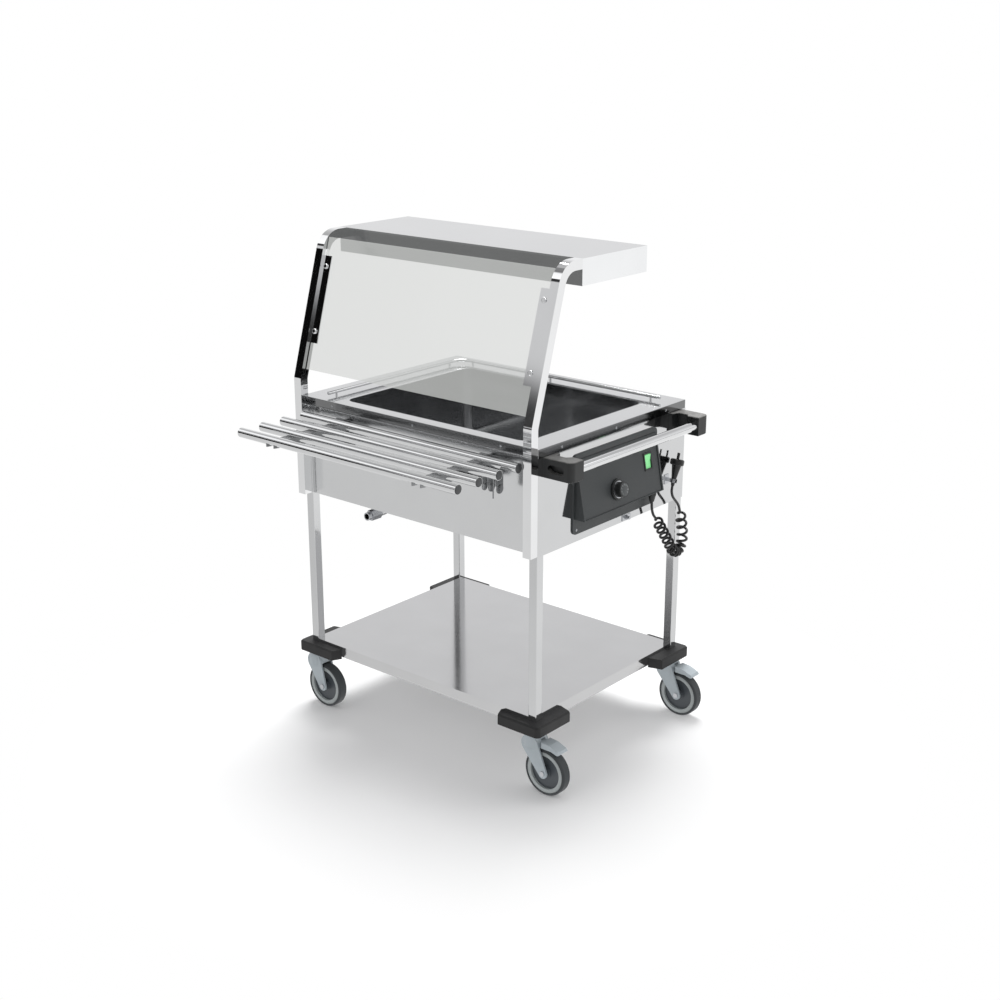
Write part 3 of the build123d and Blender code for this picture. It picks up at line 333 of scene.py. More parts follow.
# %% Settled dust and painted top light
def build_dust_group():
    """A pale film on faces that look up: settled dust, and where the amount is large, painted light on the
    tops.
    """
    group, given, result = new_group(
        "Settled dust and painted top light",
        [("Vector", VECTOR, (0, 0, 0)), ("Color", COLOR, (0.5, 0.5, 0.5, 1)), ("Amount", NUMBER, 0.1)],
        [("Color", COLOR)])
    speck = noise_node(group, given.outputs["Vector"], 60.0, 5.0, 0.7)
    upward = math_node(group, "MAXIMUM", facing_parts(group)["Z"], 0.0)
    upward_specks = math_node(group, "MULTIPLY", upward, speck)
    film = math_node(group, "MULTIPLY", upward_specks, given.outputs["Amount"])
    dusted_and_lit = mix_node(group, film, given.outputs["Color"], (0.55, 0.54, 0.52, 1))
    feed(group, result.inputs["Color"], dusted_and_lit)
    return group


DUST_AND_TOP_LIGHT = build_dust_group()
print("shared effects:", [group.name for group in bpy.data.node_groups])


# %% [markdown]
# ## Materials
# Every metal here is the same stainless steel. What changes is its finish: polished tube,
# satin sheet, and the darker sheet inside the well. A metal shows the room and not its own
# colour, so its roughness does most of the work. Plastics are the other way round: their own
# colour shows, and a weak grain breaks up the highlight.


# %% Helpers for materials
def place_group(material, group, **values):
    """Puts a shared effect into a material, fed with the object's own coordinates."""
    tree = material.node_tree
    node = tree.nodes.new("ShaderNodeGroup")
    node.node_tree = group
    where = tree.nodes.new("ShaderNodeTexCoord")
    tree.links.new(where.outputs["Object"], node.inputs["Vector"])
    for label, value in values.items():
        feed(tree, node.inputs[label.replace("_", " ")], value)
    return node


def new_surface(name, **settings):
    """A material with its main shader's plain sockets set."""
    material = bpy.data.materials.new(name)
    material.use_nodes = True
    shader = material.node_tree.nodes["Principled BSDF"]
    for label, value in settings.items():
        shader.inputs[label.replace("_", " ")].default_value = value
    return material, shader


def add_bump(tree, shader, height, distance):
    """Lets a pattern's height tilt the surface a little."""
    bump = tree.nodes.new("ShaderNodeBump")
    bump.inputs["Distance"].default_value = distance
    bump.inputs["Strength"].default_value = 1.0
    tree.links.new(height, bump.inputs["Height"])
    tree.links.new(bump.outputs["Normal"], shader.inputs["Normal"])


def turned_away(tree, color, letter, painted_tone):
    """The colour, changed to a painted reflection tone on faces that look along one axis."""
    looking = math_node(tree, "ABSOLUTE", facing_parts(tree)[letter])
    share = math_node(tree, "POWER", looking, 2.0)
    return mix_node(tree, share, color, (painted_tone, painted_tone * 1.01, painted_tone * 1.02, 1))


def stainless(name, color, smooth, rough, stretch, smears=0.008, bump=0.0000015, front=None, end=None):
    """Stainless steel with brushed lines; front and end are painted reflection tones for faces along Y and X.
    """
    material, shader = new_surface(name, Metallic=1.0)
    tree = material.node_tree
    effect = place_group(material, BRUSHED, Stretch=stretch, Smooth=smooth, Rough=rough, Smears=smears)
    feed(tree, shader.inputs["Roughness"], effect.outputs["Roughness"])
    # Faces along Y and X can get painted reflection tones: flat tones in place of what those faces mirror.
    steel = (*color, 1)
    for letter, painted_tone in (("Y", front), ("X", end)):
        if painted_tone is not None:
            steel = turned_away(tree, steel, letter, painted_tone)
    feed(tree, shader.inputs["Base Color"], mix_node(tree, 1.0, steel, effect.outputs["Tone"], "MULTIPLY"))
    add_bump(tree, shader, effect.outputs["Height"], bump)
    return material


def moulded(name, color, smooth, rough, dust_and_top_light=0.1, grain=1400.0, bump=0.00003, **settings):
    """Moulded plastic or rubber with a fine grain, and a pale film on upward faces: a little dust, and on the
    handle brackets painted top light.
    """
    material, shader = new_surface(name, **settings)
    tree = material.node_tree
    effect = place_group(material, MOULDED, Grain_size=grain, Smooth=smooth, Rough=rough)
    feed(tree, shader.inputs["Roughness"], effect.outputs["Roughness"])
    film = place_group(material, DUST_AND_TOP_LIGHT, Amount=dust_and_top_light)
    clean = mix_node(tree, 1.0, (*color, 1), effect.outputs["Tone"], "MULTIPLY")
    feed(tree, film.inputs["Color"], clean)
    feed(tree, shader.inputs["Base Color"], film.outputs["Color"])
    add_bump(tree, shader, effect.outputs["Height"], bump)
    return material


# %% [markdown]
# The makers are now called with the amounts of each finish; some of these amounts paint light and
# shade, as said where they are set. The two roughness numbers are those of its smoothest and its
# roughest streaks.

# %% The trolley's finishes
ALONG_X, ALONG_Y, ALONG_Z = (5, 1100, 1100), (1100, 5, 1100), (1100, 1100, 5)
sheet_x = stainless("Satin sheet along X", (0.68, 0.685, 0.69), 0.16, 0.24, ALONG_X)
sheet_y = stainless("Bright end sheet", (0.61, 0.615, 0.62), 0.05, 0.09, ALONG_Y, smears=0.003)
# The counter's front and end faces and the overshelf's front are darkened, and the overshelf's end lightened,
# as painted reflection.
counter = stainless("Counter top sheet", (0.57, 0.575, 0.58), 0.09, 0.14, ALONG_X, front=0.20, end=0.20)
overshelf = stainless("Overshelf sheet", (0.52, 0.525, 0.53), 0.06, 0.10, ALONG_X, front=0.22, end=0.84)
shelf_sheet = stainless("Bright shelf sheet", (0.60, 0.60, 0.605), 0.08, 0.14, ALONG_X, smears=0.005)
well_sheet = stainless("Well sheet", (0.46, 0.465, 0.47), 0.08, 0.14, ALONG_Z, smears=0.01)
polished = stainless("Polished tube", (0.72, 0.725, 0.73), 0.035, 0.06, ALONG_X, smears=0.002, bump=0.0000003)
leg_tube = stainless("Polished upright", (0.62, 0.625, 0.63), 0.05, 0.09, ALONG_Z, smears=0.004, bump=0.0000005)
post_tube = stainless("Polished post", (0.80, 0.805, 0.81), 0.035, 0.06, ALONG_Z, smears=0.002, bump=0.0000003)
# The tray's arms, brackets and stay are the same stainless steel, given a dark colour as painted shade under
# the tubes.
shaded_bracket_sheet = stainless("Bracket sheet with painted shade", (0.26, 0.265, 0.27), 0.20, 0.30, ALONG_Y)
plated = stainless("Zinc plate", (0.50, 0.51, 0.53), 0.12, 0.24, (300, 300, 300), smears=0.02)
element = stainless("Heating element", (0.20, 0.18, 0.17), 0.35, 0.5, (200, 200, 200), smears=0.05)
black_rubber = moulded("Bumper rubber", (0.0050, 0.0050, 0.0055), 0.48, 0.62, dust_and_top_light=0.006, grain=900.0)
black_plastic = moulded("Black moulding", (0.010, 0.011, 0.011), 0.32, 0.44, dust_and_top_light=0.008, grain=1500.0,
                        bump=0.00002)
# On the handle brackets the large film amount is painted light on their top faces, with some dust.
bracket_plastic = moulded("Handle bracket moulding", (0.006, 0.007, 0.0075), 0.34, 0.46, dust_and_top_light=0.55,
                          grain=1500.0)
grey_plastic = moulded("Dark grey moulding", (0.040, 0.045, 0.047), 0.42, 0.56, dust_and_top_light=0.01, grain=1300.0)
dial_plastic = moulded("Dial grey", (0.060, 0.066, 0.068), 0.36, 0.46, dust_and_top_light=0.0)
mark_paint = moulded("Dial marks", (0.42, 0.44, 0.44), 0.5, 0.6, dust_and_top_light=0.0)
lead_rubber = moulded("Lead sheath", (0.006, 0.006, 0.0065), 0.30, 0.42, dust_and_top_light=0.004, grain=1600.0, bump=0.00001)
caster_plastic = moulded("Blue-grey moulding", (0.43, 0.48, 0.51), 0.34, 0.48, dust_and_top_light=0.03, grain=1000.0)
wheel_disc = moulded("Wheel disc", (0.060, 0.070, 0.080), 0.34, 0.46, dust_and_top_light=0.02, grain=1100.0)
wheel_ring = moulded("Wheel ring", (0.36, 0.39, 0.39), 0.36, 0.5, dust_and_top_light=0.03, grain=1100.0)
end_plug = moulded("Tube end plug", (0.060, 0.062, 0.064), 0.4, 0.52, dust_and_top_light=0.0)
tread = moulded("Grey tread", (0.033, 0.038, 0.042), 0.5, 0.68, dust_and_top_light=0.05, grain=700.0, bump=0.00006)
white_plastic = moulded("Terminal moulding", (0.7, 0.7, 0.68), 0.4, 0.5, dust_and_top_light=0.0)
lit_green = moulded("Lit green rocker", (0.22, 0.66, 0.27), 0.18, 0.3, dust_and_top_light=0.0, grain=900.0, bump=0.00001,
                    Emission_Color=(0.24, 0.80, 0.30, 1), Emission_Strength=0.35)
print(len(bpy.data.materials), "finishes")

# %% [markdown]
# ## Glass
# The guard is toughened glass that mirrors the bright room, so a pale veil lies over whatever
# is behind it. Clear glass alone would vanish against a pale wall. Here the veil is a painted
# reflection: a thin surface with partial alpha glows a weak white, and stays simple enough to
# show the well through it.

# %% The guard's glass
PAINTED_VEIL_SQUARE_ON, PAINTED_VEIL_AT_A_SLANT = 0.30, 0.62
# The weak white emission is the painted reflection; the alpha sets how much of it covers what is behind.
glass, glass_shader = new_surface(
    "Guard glass", Metallic=0.0, Transmission_Weight=0.0, IOR=1.5, Base_Color=(0.10, 0.105, 0.10, 1),
    Specular_IOR_Level=0.12, Emission_Color=(0.985, 1.0, 0.98, 1), Emission_Strength=0.54)
tree = glass.node_tree
glass_effect = place_group(glass, MOULDED, Grain_size=6.0, Smooth=0.03, Rough=0.07)
feed(tree, glass_shader.inputs["Roughness"], glass_effect.outputs["Roughness"])
slant = tree.nodes.new("ShaderNodeLayerWeight")
slant.inputs["Blend"].default_value = 0.5
painted_reflection_veil = map_range(tree, slant.outputs["Facing"], PAINTED_VEIL_SQUARE_ON, PAINTED_VEIL_AT_A_SLANT, 0.0, 1.0)
feed(tree, glass_shader.inputs["Alpha"], painted_reflection_veil)
print("guard glass hides", PAINTED_VEIL_SQUARE_ON, "to", PAINTED_VEIL_AT_A_SLANT, "of what is behind it")

# %% [markdown]
# ## Dress the engineering pieces
# Each piece could be dressed by hand in the material panel. One table says the same thing in
# one place, and shows at a glance which pieces share a finish.

# %% Put the finishes on the engineering pieces
FINISHES = {
    "legs": leg_tube, "bottom_shelf": shelf_sheet, "corner_bumpers": black_rubber,
    "end_panel_left": sheet_y, "end_panel_right": sheet_y, "front_panel": sheet_x, "back_panel": sheet_x,
    "bottom_cover": sheet_x, "top_plate": counter, "well_basin": well_sheet, "well_heater": element,
    "gallery_rail": polished, "hood_posts": post_tube, "hood_shelf": overshelf, "glass_pane": glass,
    # The tray arms and brackets get the bracket sheet with its painted shade.
    "glass_flanges": post_tube, "glass_screws": polished, "tray_tubes": polished, "tray_arms": shaded_bracket_sheet,
    "tray_brackets": shaded_bracket_sheet, "tray_lock_pin_left": plated, "tray_lock_pin_right": plated,
    "handle_tube": polished, "handle_brackets": bracket_plastic, "control_housing": grey_plastic,
    "control_back_plate": grey_plastic, "thermostat_knob": black_plastic, "thermostat_body": grey_plastic,
    "switch_frame": black_plastic, "switch_rocker": lit_green, "terminal_block": white_plastic,
    "cable_gland": black_plastic, "mains_plug": lead_rubber, "plug_clip": plated, "drain_pipe": polished,
    "drain_valve": plated, "valve_lever": black_plastic, "bonding_lug": plated, "caster_stems": plated,
}
for start, finish in (("caster_fork", caster_plastic), ("brake_pedal", caster_plastic),
                      ("caster_axle", plated), ("caster_tyre", tread), ("caster_hub", wheel_disc)):
    FINISHES.update({name: finish for name in nodes if name.startswith(start)})
lead.data.materials.append(lead_rubber)
for name, finish in FINISHES.items():
    if name in nodes:
        nodes[name].data.materials.clear()
        nodes[name].data.materials.append(finish)
print("pieces with no finish:", sorted(set(nodes) - set(FINISHES)))

# %% [markdown]
# ## Round pieces
# Wheel centres, end plugs, knobs and screw heads are all turned shapes. Each starts as a
# cylinder along its own axis. Its end face is then inset and pushed in or out a few times, the
# way a lathe cuts steps, and a small bevel takes the sharpness off the rims.


# %% A helper that turns a piece
def turned(name, centre, axis, radius, length, outward=(), inward=(), sides=64, rim=0.0004):
    """A cylinder whose two ends are cut in steps of (how much narrower, how far out)."""
    axis = Vector(axis).normalized()
    bpy.ops.object.select_all(action="DESELECT")
    bpy.ops.mesh.primitive_cylinder_add(vertices=sides, radius=radius, depth=length, location=centre,
                                        rotation=axis.to_track_quat("Z", "Y").to_euler())
    piece = bpy.context.active_object
    piece.name = name
    bpy.ops.object.transform_apply(location=True, rotation=True, scale=True)
    for way, steps in ((axis, outward), (-axis, inward)):
        bpy.ops.object.mode_set(mode="EDIT")
        bpy.ops.mesh.select_mode(type="FACE")
        bpy.ops.mesh.select_all(action="DESELECT")
        bpy.ops.object.mode_set(mode="OBJECT")
        end_face = max(piece.data.polygons, key=lambda face: face.normal.dot(way) + face.center.dot(way))
        end_face.select = True
        bpy.ops.object.mode_set(mode="EDIT")
        for narrower, push in steps:
            if narrower:
                bpy.ops.mesh.inset(thickness=narrower, depth=0)
            if push:
                bpy.ops.mesh.extrude_region_move(TRANSFORM_OT_translate={"value": way * push})
        bpy.ops.object.mode_set(mode="OBJECT")
    if rim:
        bevel = piece.modifiers.new("rims", "BEVEL")
        bevel.width, bevel.segments, bevel.limit_method = rim, 2, "ANGLE"
        bpy.ops.object.modifier_apply(modifier=bevel.name)
    bpy.ops.object.shade_smooth_by_angle(angle=math.radians(35))
    return piece


def fit(piece, body, finish, slot, *replaced):
    """Gives a new piece its finish and its body; the slot is not used."""
    piece.data.materials.clear()
    piece.data.materials.append(finish)
    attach(piece, body)
    if replaced:
        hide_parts(*replaced)


def copied(piece, name, shift):
    """Another of the same piece, with its own mesh, moved by a shift."""
    twin = bpy.data.objects.new(name, piece.data.copy())
    twin.data.transform(Matrix.Translation(shift))
    bpy.context.scene.collection.objects.link(twin)
    return twin


def joined(pieces, name):
    """Several meshes made into one piece."""
    bpy.ops.object.select_all(action="DESELECT")
    for piece in pieces:
        piece.select_set(True)
    bpy.context.view_layer.objects.active = pieces[0]
    bpy.ops.object.join()
    pieces[0].name = name
    return pieces[0]


def corners_of(name):
    """The lowest and the highest corner of an engineering piece's box."""
    return [Vector(corner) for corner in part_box(name)]


def middle(name):
    low, high = corners_of(name)
    return (low + high) / 2


print("the front left tyre is centred on", [round(number, 4) for number in middle("caster_tyre_front_left")])


# %% [markdown]
# ## Wheels
# Each castor wheel has three rings that read at a glance: a dark tyre, a pale rim and a dark
# sunken disc with a boss. The tyre is already there. The rim and the disc are turned once at
# the first wheel and copied to the other three.

# %% Pale rims and dark discs
CORNERS = ("front_left", "front_right", "back_left", "back_right")
RIM_RADIUS, RIM_WIDTH = 0.0560, 0.0240
DISC_RADIUS, DISC_WIDTH = 0.0455, 0.0130
AXLE_WAY = (0, 1, 0)
hub = middle("caster_tyre_front_left")
rim_steps = [(0.0015, 0.0008), (0.0085, 0.0), (0.0012, -0.0088)]
disc_steps = [(0.0030, 0.0), (0.0015, -0.0012), (0.0240, 0.0), (0.0015, 0.0045), (0.0030, 0.0020)]
first_rim = turned("wheel_rim_front_left", hub, AXLE_WAY, RIM_RADIUS, RIM_WIDTH, rim_steps, rim_steps)
first_disc = turned("wheel_disc_front_left", hub, AXLE_WAY, DISC_RADIUS, DISC_WIDTH, disc_steps, disc_steps)
for corner in CORNERS:
    shift = middle(f"caster_tyre_{corner}") - hub
    rim = first_rim if corner == CORNERS[0] else copied(first_rim, f"wheel_rim_{corner}", shift)
    disc = first_disc if corner == CORNERS[0] else copied(first_disc, f"wheel_disc_{corner}", shift)
    fit(rim, f"wheel_{corner}", wheel_ring, "wheel_plastic", f"caster_hub_{corner}")
    fit(disc, f"wheel_{corner}", wheel_disc, "wheel_plastic", f"caster_hub_{corner}")
print(len(CORNERS), "wheels,", round(2 * RIM_RADIUS * 1000), "mm across the rim")

# %% [markdown]
# ## Tube ends
# The four rails of the tray slide are round tubes, closed by grey moulded plugs that stand a
# hair proud of the tube. A plug could be drawn as a dark disc on the tube's end, but from the
# side its rim would be missing. So one plug is turned for each end and copied along the rails.

# %% Plugs in the tray tubes
PLUG_LENGTH, PLUG_SIDES, PLUG_GAP = 0.0080, 32, 0.0008
PLUG_SET_BACK = 0.0035
RAILS = 4
tube_low, tube_high = corners_of("tray_tubes")
TUBE_RADIUS = (tube_high.z - tube_low.z) / 2
rail_pitch = (tube_high.y - tube_low.y - 2 * TUBE_RADIUS) / (RAILS - 1)
plug_rim = [(0.0016, 0.0009)]
first_plugs = {}
for side_name, place_x, way in (("right", tube_high.x - PLUG_SET_BACK, (1, 0, 0)),
                                ("left", tube_low.x + PLUG_SET_BACK, (-1, 0, 0))):
    place = Vector((place_x, tube_low.y + TUBE_RADIUS, tube_low.z + TUBE_RADIUS))
    first_plugs[side_name] = turned(f"tray_plug_{side_name}_1", place, way, TUBE_RADIUS - PLUG_GAP,
                                    PLUG_LENGTH, plug_rim, sides=PLUG_SIDES)
for number in range(RAILS):
    shift = Vector((0, number * rail_pitch, 0))
    for side_name, first_plug in first_plugs.items():
        plug = first_plug if number == 0 else copied(first_plug, f"tray_plug_{side_name}_{number + 1}", shift)
        fit(plug, "tray", end_plug, "grey_plastic")
print(2 * RAILS, "plugs,", round(rail_pitch * 1000), "mm apart")

# %% [markdown]
# ## The lobed stay
# Near the right end of the tray a lobed plate hangs under the tubes, with a thin rod through
# it. Its three lobes are the ends of folded links. The plate could be one outline with a
# thickness, but its round lobes are easier to place one by one: each is a turned disc with a
# flat strap above it, and they are joined to one piece.

# %% Lobes and straps
LOBES = [(0.088, 0.030, 0.0095), (0.068, 0.036, 0.0110), (0.042, 0.046, 0.0120)]
LOBE_SHIFT, LOBE_WIDTH = 0.004, 0.003
STRAP_WIDTH, STRAP_MARGIN = 0.0028, 0.0006
STAY_X, STAY_TOP = tube_high.x - 0.062, tube_low.z - 0.002
panel_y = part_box("front_panel")[0][1]
parts_of_stay = []
for number, (out, drop, size) in enumerate(LOBES):
    place = Vector((STAY_X + LOBE_SHIFT * number, panel_y - out, STAY_TOP - drop))
    lobe = turned(f"stay_lobe_{number + 1}", place, (1, 0, 0), size, LOBE_WIDTH, [(0.0015, 0.0004)], sides=40)
    bpy.ops.object.select_all(action="DESELECT")
    bpy.ops.mesh.primitive_cube_add(size=1, location=place + Vector((0, 0, drop / 2)))
    strap = bpy.context.active_object
    strap.scale = (STRAP_WIDTH, 2 * size - STRAP_MARGIN, drop)
    bpy.ops.object.transform_apply(location=True, rotation=True, scale=True)
    bevel = strap.modifiers.new("rims", "BEVEL")
    bevel.width, bevel.segments = 0.0006, 2
    bpy.ops.object.modifier_apply(modifier=bevel.name)
    parts_of_stay += [lobe, strap]
stay = joined(parts_of_stay, "tray_stay_plate")
# The stay gets the bracket sheet's painted shade.
fit(stay, "tray", shaded_bracket_sheet, "satin_steel")
print(len(LOBES), "lobes,", len(stay.data.polygons), "faces")

# %% The thin rod
ROD_RADIUS, ROD_LENGTH = 0.0018, 0.070
rod_place = Vector((STAY_X + 0.006, panel_y - 0.064, STAY_TOP - 0.030))
rod_end = [(0.0005, 0.0004)]
stay_rod = turned("tray_stay_rod", rod_place, (0, 0, 1), ROD_RADIUS, ROD_LENGTH, rod_end, rod_end, sides=20)
# The rod gets the bracket sheet's painted shade too.
fit(stay_rod, "tray", shaded_bracket_sheet, "satin_steel")
print("the rod is", round(ROD_LENGTH * 1000), "mm long")

# %% [markdown]
# ## The thermostat's knob
# The knob has a wide black skirt with a bright ring, a tall grip and a grey numbered face. One
# turned shape could carry all four, but they differ in finish, so each is a piece of its own.
# The knob's axis leans with the sloping fascia, so every part of it is turned about that axis.

# %% Skirt, ring, grip and face
KNOB_AXIS = Vector(joints["thermostat_turn"]["axis"]).normalized()
KNOB_FOOT = Vector(joints["thermostat_turn"]["pos_m"])


def knob_part(name, start, end, radius, finish, steps, *replaced):
    """A round part of the knob, from one height over the fascia to another."""
    place = KNOB_FOOT + KNOB_AXIS * (start + end) / 2
    part = turned(name, place, KNOB_AXIS, radius, end - start, steps)
    fit(part, "knob", finish, "knob_plastic", *replaced)


knob_part("knob_skirt", 0.00035, 0.0050, 0.0270, black_plastic, [(0.0020, 0.0010), (0.0040, -0.0006)],
          "thermostat_knob")
knob_part("knob_ring", 0.0046, 0.0062, 0.0222, plated, [(0.0006, 0.0)])
knob_part("knob_grip", 0.0040, 0.0235, 0.0196, black_plastic, [(0.0012, 0.0006), (0.0010, -0.0006)])
knob_part("knob_face", 0.0225, 0.0238, 0.0172, dial_plastic, [(0.0010, 0.0002)])
print("the knob leans", round(math.degrees(math.asin(KNOB_AXIS.z))), "degrees back")

# %% [markdown]
# The numbers are printed on the real face. An image of them would blur close up, so they are
# made as text with a trace of thickness, turned to a mesh, and laid on the face in a ring.

# %% Numbers round the face
LAST_NUMBER = 9
RING_FROM, RING_SWEEP, RING_RADIUS = 225, 270, 0.0128
FACE_HEIGHT = 0.02395
DIGIT_SIZE, DIGIT_THICKNESS = 0.0062, 0.00008
across = Vector((0, 1, 0))
upward = KNOB_AXIS.cross(across).normalized()
turn_to_face = Matrix((across, upward, KNOB_AXIS)).transposed().to_4x4()
digits = []
for number in range(1, LAST_NUMBER + 1):
    angle = math.radians(RING_FROM - (number - 1) * RING_SWEEP / (LAST_NUMBER - 1))
    on_ring = (across * math.cos(angle) + upward * math.sin(angle)) * RING_RADIUS
    place = KNOB_FOOT + KNOB_AXIS * FACE_HEIGHT + on_ring
    bpy.ops.object.select_all(action="DESELECT")
    bpy.ops.object.text_add()
    digit = bpy.context.active_object
    digit.data.body = str(number)
    digit.data.size = DIGIT_SIZE
    digit.data.extrude = DIGIT_THICKNESS
    digit.data.align_x, digit.data.align_y = "CENTER", "CENTER"
    bpy.ops.object.convert(target="MESH")
    digit = bpy.context.active_object
    digit.data.transform(Matrix.Translation(place) @ turn_to_face)
    digits.append(digit)
fit(joined(digits, "dial_numbers"), "knob", mark_paint, "knob_plastic")
print(LAST_NUMBER, "numbers on the dial")

# %% [markdown]
# ## Screws
# Small pan-head screws hold the counter's folded edge and the back plate of the control box.
# Only the head of a screw shows, so the thread is left out. A copied head would have to be
# swung round to each side, so a head is turned at every place. The last step pushes the
# driver's hollow into its middle.

# %% Screw heads
HEAD_RADIUS, HEAD_HEIGHT = 0.0032, 0.0014
EDGE_DROP, PLATE_RISE, PLATE_INSET = 0.012, 0.012, 0.014
screw_steps = [(0.0008, 0.0007), (0.0010, 0.0), (0.0004, -0.0008)]
top_low, top_high = corners_of("top_plate")
plate_low, plate_high = corners_of("control_back_plate")
edge_height = top_high.z - EDGE_DROP
centre_x, centre_y = (top_low.x + top_high.x) / 2, (top_low.y + top_high.y) / 2
SCREWS = [((centre_x + x, top_low.y, edge_height), (0, -1, 0)) for x in (-0.29, 0.0, 0.29)]
SCREWS += [((top_high.x, centre_y + y, edge_height), (1, 0, 0)) for y in (-0.22, 0.0, 0.22)]
SCREWS += [((plate_high.x, y, plate_low.z + PLATE_RISE), (1, 0, 0))
           for y in (plate_low.y + PLATE_INSET, plate_high.y - PLATE_INSET)]
for number, (place, way) in enumerate(SCREWS):
    screw = turned(f"edge_screw_{number + 1}", place, way, HEAD_RADIUS, HEAD_HEIGHT, screw_steps,
                   sides=24, rim=0.0002)
    fit(screw, "trolley", plated, "plated_metal")
print(len(SCREWS), "screws")

# %% [markdown]
# ## Floor
# The trolley stands on a white floor with a soft shadow. A plain white plane would need a
# perfect lamp to look white all over. So the floor is lit by the lamps near the trolley, and
# turns into its own white light further out. The steel mirrors a simpler floor, a little
# darker on one side, which gives the sheets their slow change of tone.

# %% The floor's two looks
FLOOR_SIZE = 60
GLOW_STARTS, ALL_WHITE_FROM = 0.45, 1.20
LEAST_GLOW = 0.08
PAINT, NO_PAINT = (0.92, 0.92, 0.92, 1), (0.0, 0.0, 0.0, 1)
bpy.ops.mesh.primitive_plane_add(size=FLOOR_SIZE, location=(0, 0, 0))
floor = bpy.context.active_object
floor.name = "studio_floor"
floor_paint, floor_shader = new_surface("Studio floor", Roughness=0.9, Specular_IOR_Level=0.0,
                                        Emission_Color=(1, 1, 1, 1))
tree = floor_paint.node_tree
floor_place = tree.nodes.new("ShaderNodeTexCoord")
reach = tree.nodes.new("ShaderNodeVectorMath")
reach.operation = "LENGTH"
tree.links.new(floor_place.outputs["Object"], reach.inputs[0])
glow = map_range(tree, reach.outputs["Value"], LEAST_GLOW, 1.0, GLOW_STARTS, ALL_WHITE_FROM)
feed(tree, floor_shader.inputs["Emission Strength"], glow)
feed(tree, floor_shader.inputs["Base Color"], mix_node(tree, glow, PAINT, NO_PAINT))
mirrored_floor = tree.nodes.new("ShaderNodeEmission")
spread = tree.nodes.new("ShaderNodeSeparateXYZ")
tree.links.new(floor_place.outputs["Object"], spread.inputs[0])
sideways = math_node(tree, "ADD", spread.outputs["X"], spread.outputs["Y"])
feed(tree, mirrored_floor.inputs["Strength"], map_range(tree, sideways, 0.80, 1.05, -2.0, 2.0))
looked_at = tree.nodes.new("ShaderNodeLightPath")
floor_choice = tree.nodes.new("ShaderNodeMixShader")
tree.links.new(looked_at.outputs["Is Camera Ray"], floor_choice.inputs["Fac"])
tree.links.new(mirrored_floor.outputs[0], floor_choice.inputs[1])
tree.links.new(floor_shader.outputs[0], floor_choice.inputs[2])
tree.links.new(floor_choice.outputs[0], tree.nodes["Material Output"].inputs["Surface"])
floor.data.materials.append(floor_paint)
print(f"the floor is white from {ALL_WHITE_FROM} m")

# %% [markdown]
# ## The room that the steel mirrors
# Polished steel has no look of its own: it shows the room. An even white room would make it
# flat and pale. So the room has bands of light and dark from floor to ceiling, one set in
# front and one behind, and one dark upright screen. The camera itself sees plain white.

# %% Bands of the room
world = bpy.data.worlds.new("Studio")
bpy.context.scene.world = world
world.use_nodes = True
room = world.node_tree
room.nodes.clear()
direction = room.nodes.new("ShaderNodeTexCoord")
way_parts = room.nodes.new("ShaderNodeSeparateXYZ")
room.links.new(direction.outputs["Generated"], way_parts.inputs[0])
FRONT_BANDS = [
    (0.0, 0.55), (0.50, 0.02), (0.53, 0.02), (0.535, 0.55), (0.57, 0.50), (0.575, 0.05), (0.60, 0.05),
    (0.61, 0.70), (0.685, 0.75), (0.695, 0.04), (0.735, 0.04), (0.745, 1.35), (0.85, 1.20), (0.87, 0.22),
    (1.0, 0.50),
]
BACK_BANDS = [(0.0, 0.55), (0.50, 0.05), (0.512, 0.90), (0.60, 1.00), (0.72, 0.86), (0.85, 0.50), (1.0, 0.70)]


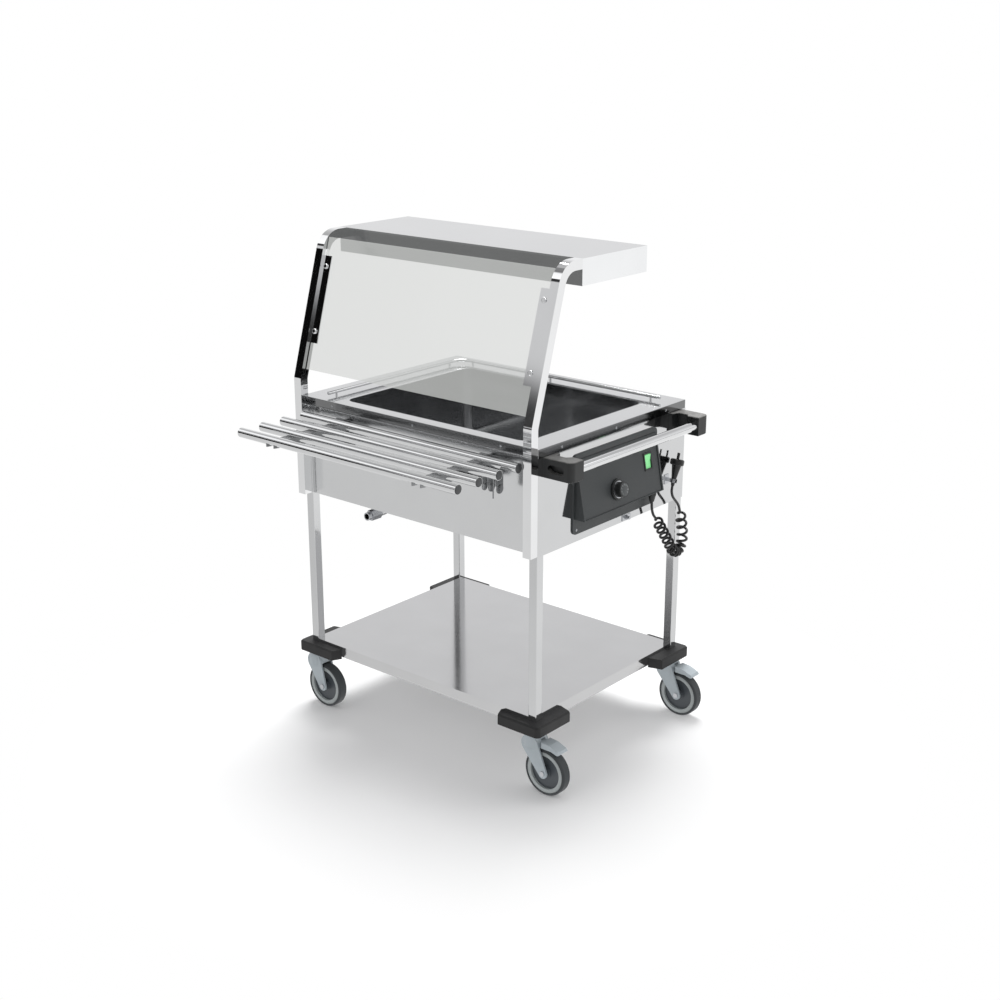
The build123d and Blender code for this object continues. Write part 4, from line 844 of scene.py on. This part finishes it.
def band_ramp(bands):
    """Steps of brightness from straight down, 0, over the horizon, 0.5, to straight up, 1."""
    ramp = room.nodes.new("ShaderNodeValToRGB")
    ramp.color_ramp.interpolation = "LINEAR"
    stops = ramp.color_ramp.elements
    stops[0].position, stops[1].position = bands[0][0], bands[-1][0]
    for place, _ in bands[1:-1]:
        stops.new(place)
    for stop, (_, value) in zip(stops, bands):
        stop.color = (value, value, value * 1.01, 1)
    feed(room, ramp.inputs["Fac"], math_node(room, "MULTIPLY_ADD", way_parts.outputs["Z"], 0.5, 0.5))
    return ramp.outputs["Color"]


behind = math_node(room, "GREATER_THAN", way_parts.outputs["Y"], 0.0)
whole_room = mix_node(room, behind, band_ramp(FRONT_BANDS), band_ramp(BACK_BANDS))
print(len(FRONT_BANDS), "bands in front,", len(BACK_BANDS), "behind")

# %% A dark screen, and white for the camera
SCREEN_TURN, SCREEN_HALF_WIDTH = math.radians(-138.5), math.radians(5.0)
SCREEN_HEIGHT, SCREEN_REACH = 0.14, 0.17
turn = math_node(room, "ARCTAN2", way_parts.outputs["Y"], way_parts.outputs["X"])
beside = math_node(room, "COMPARE", turn, SCREEN_TURN, SCREEN_HALF_WIDTH)
level = math_node(room, "COMPARE", way_parts.outputs["Z"], SCREEN_HEIGHT, SCREEN_REACH)
on_screen = math_node(room, "MULTIPLY", beside, level)
mirrored_room = mix_node(room, on_screen, whole_room, (0.004, 0.004, 0.004, 1))
eye = room.nodes.new("ShaderNodeLightPath")
seen_room = mix_node(room, eye.outputs["Is Camera Ray"], mirrored_room, (1, 1, 1, 1))
backdrop = room.nodes.new("ShaderNodeBackground")
feed(room, backdrop.inputs["Color"], seen_room)
room_out = room.nodes.new("ShaderNodeOutputWorld")
room.links.new(backdrop.outputs[0], room_out.inputs["Surface"])
print(len(room.nodes), "nodes make the room")

# %% [markdown]
# ## Lamps
# A large lamp throws a soft shadow and a small one a hard one. The key lamp hangs high behind
# the trolley and is wide, so the shadow under the shelf fades slowly towards the front.

# %% Key and fill
LAMPS = [("key", (-1.0, 1.5, 5.2), 2.6, 270), ("fill", (3.0, 2.6, 4.6), 3.2, 30)]
LAMP_AIM = Vector((0, 0, 0.6))
for name, place, size, power in LAMPS:
    bpy.ops.object.light_add(type="AREA", location=place)
    lamp = bpy.context.active_object
    lamp.name = name
    lamp.rotation_mode = "QUATERNION"
    lamp.rotation_quaternion = (LAMP_AIM - Vector(place)).to_track_quat("-Z", "Y")
    lamp.data.size = size
    lamp.data.energy = power
print(len(LAMPS), "lamps")
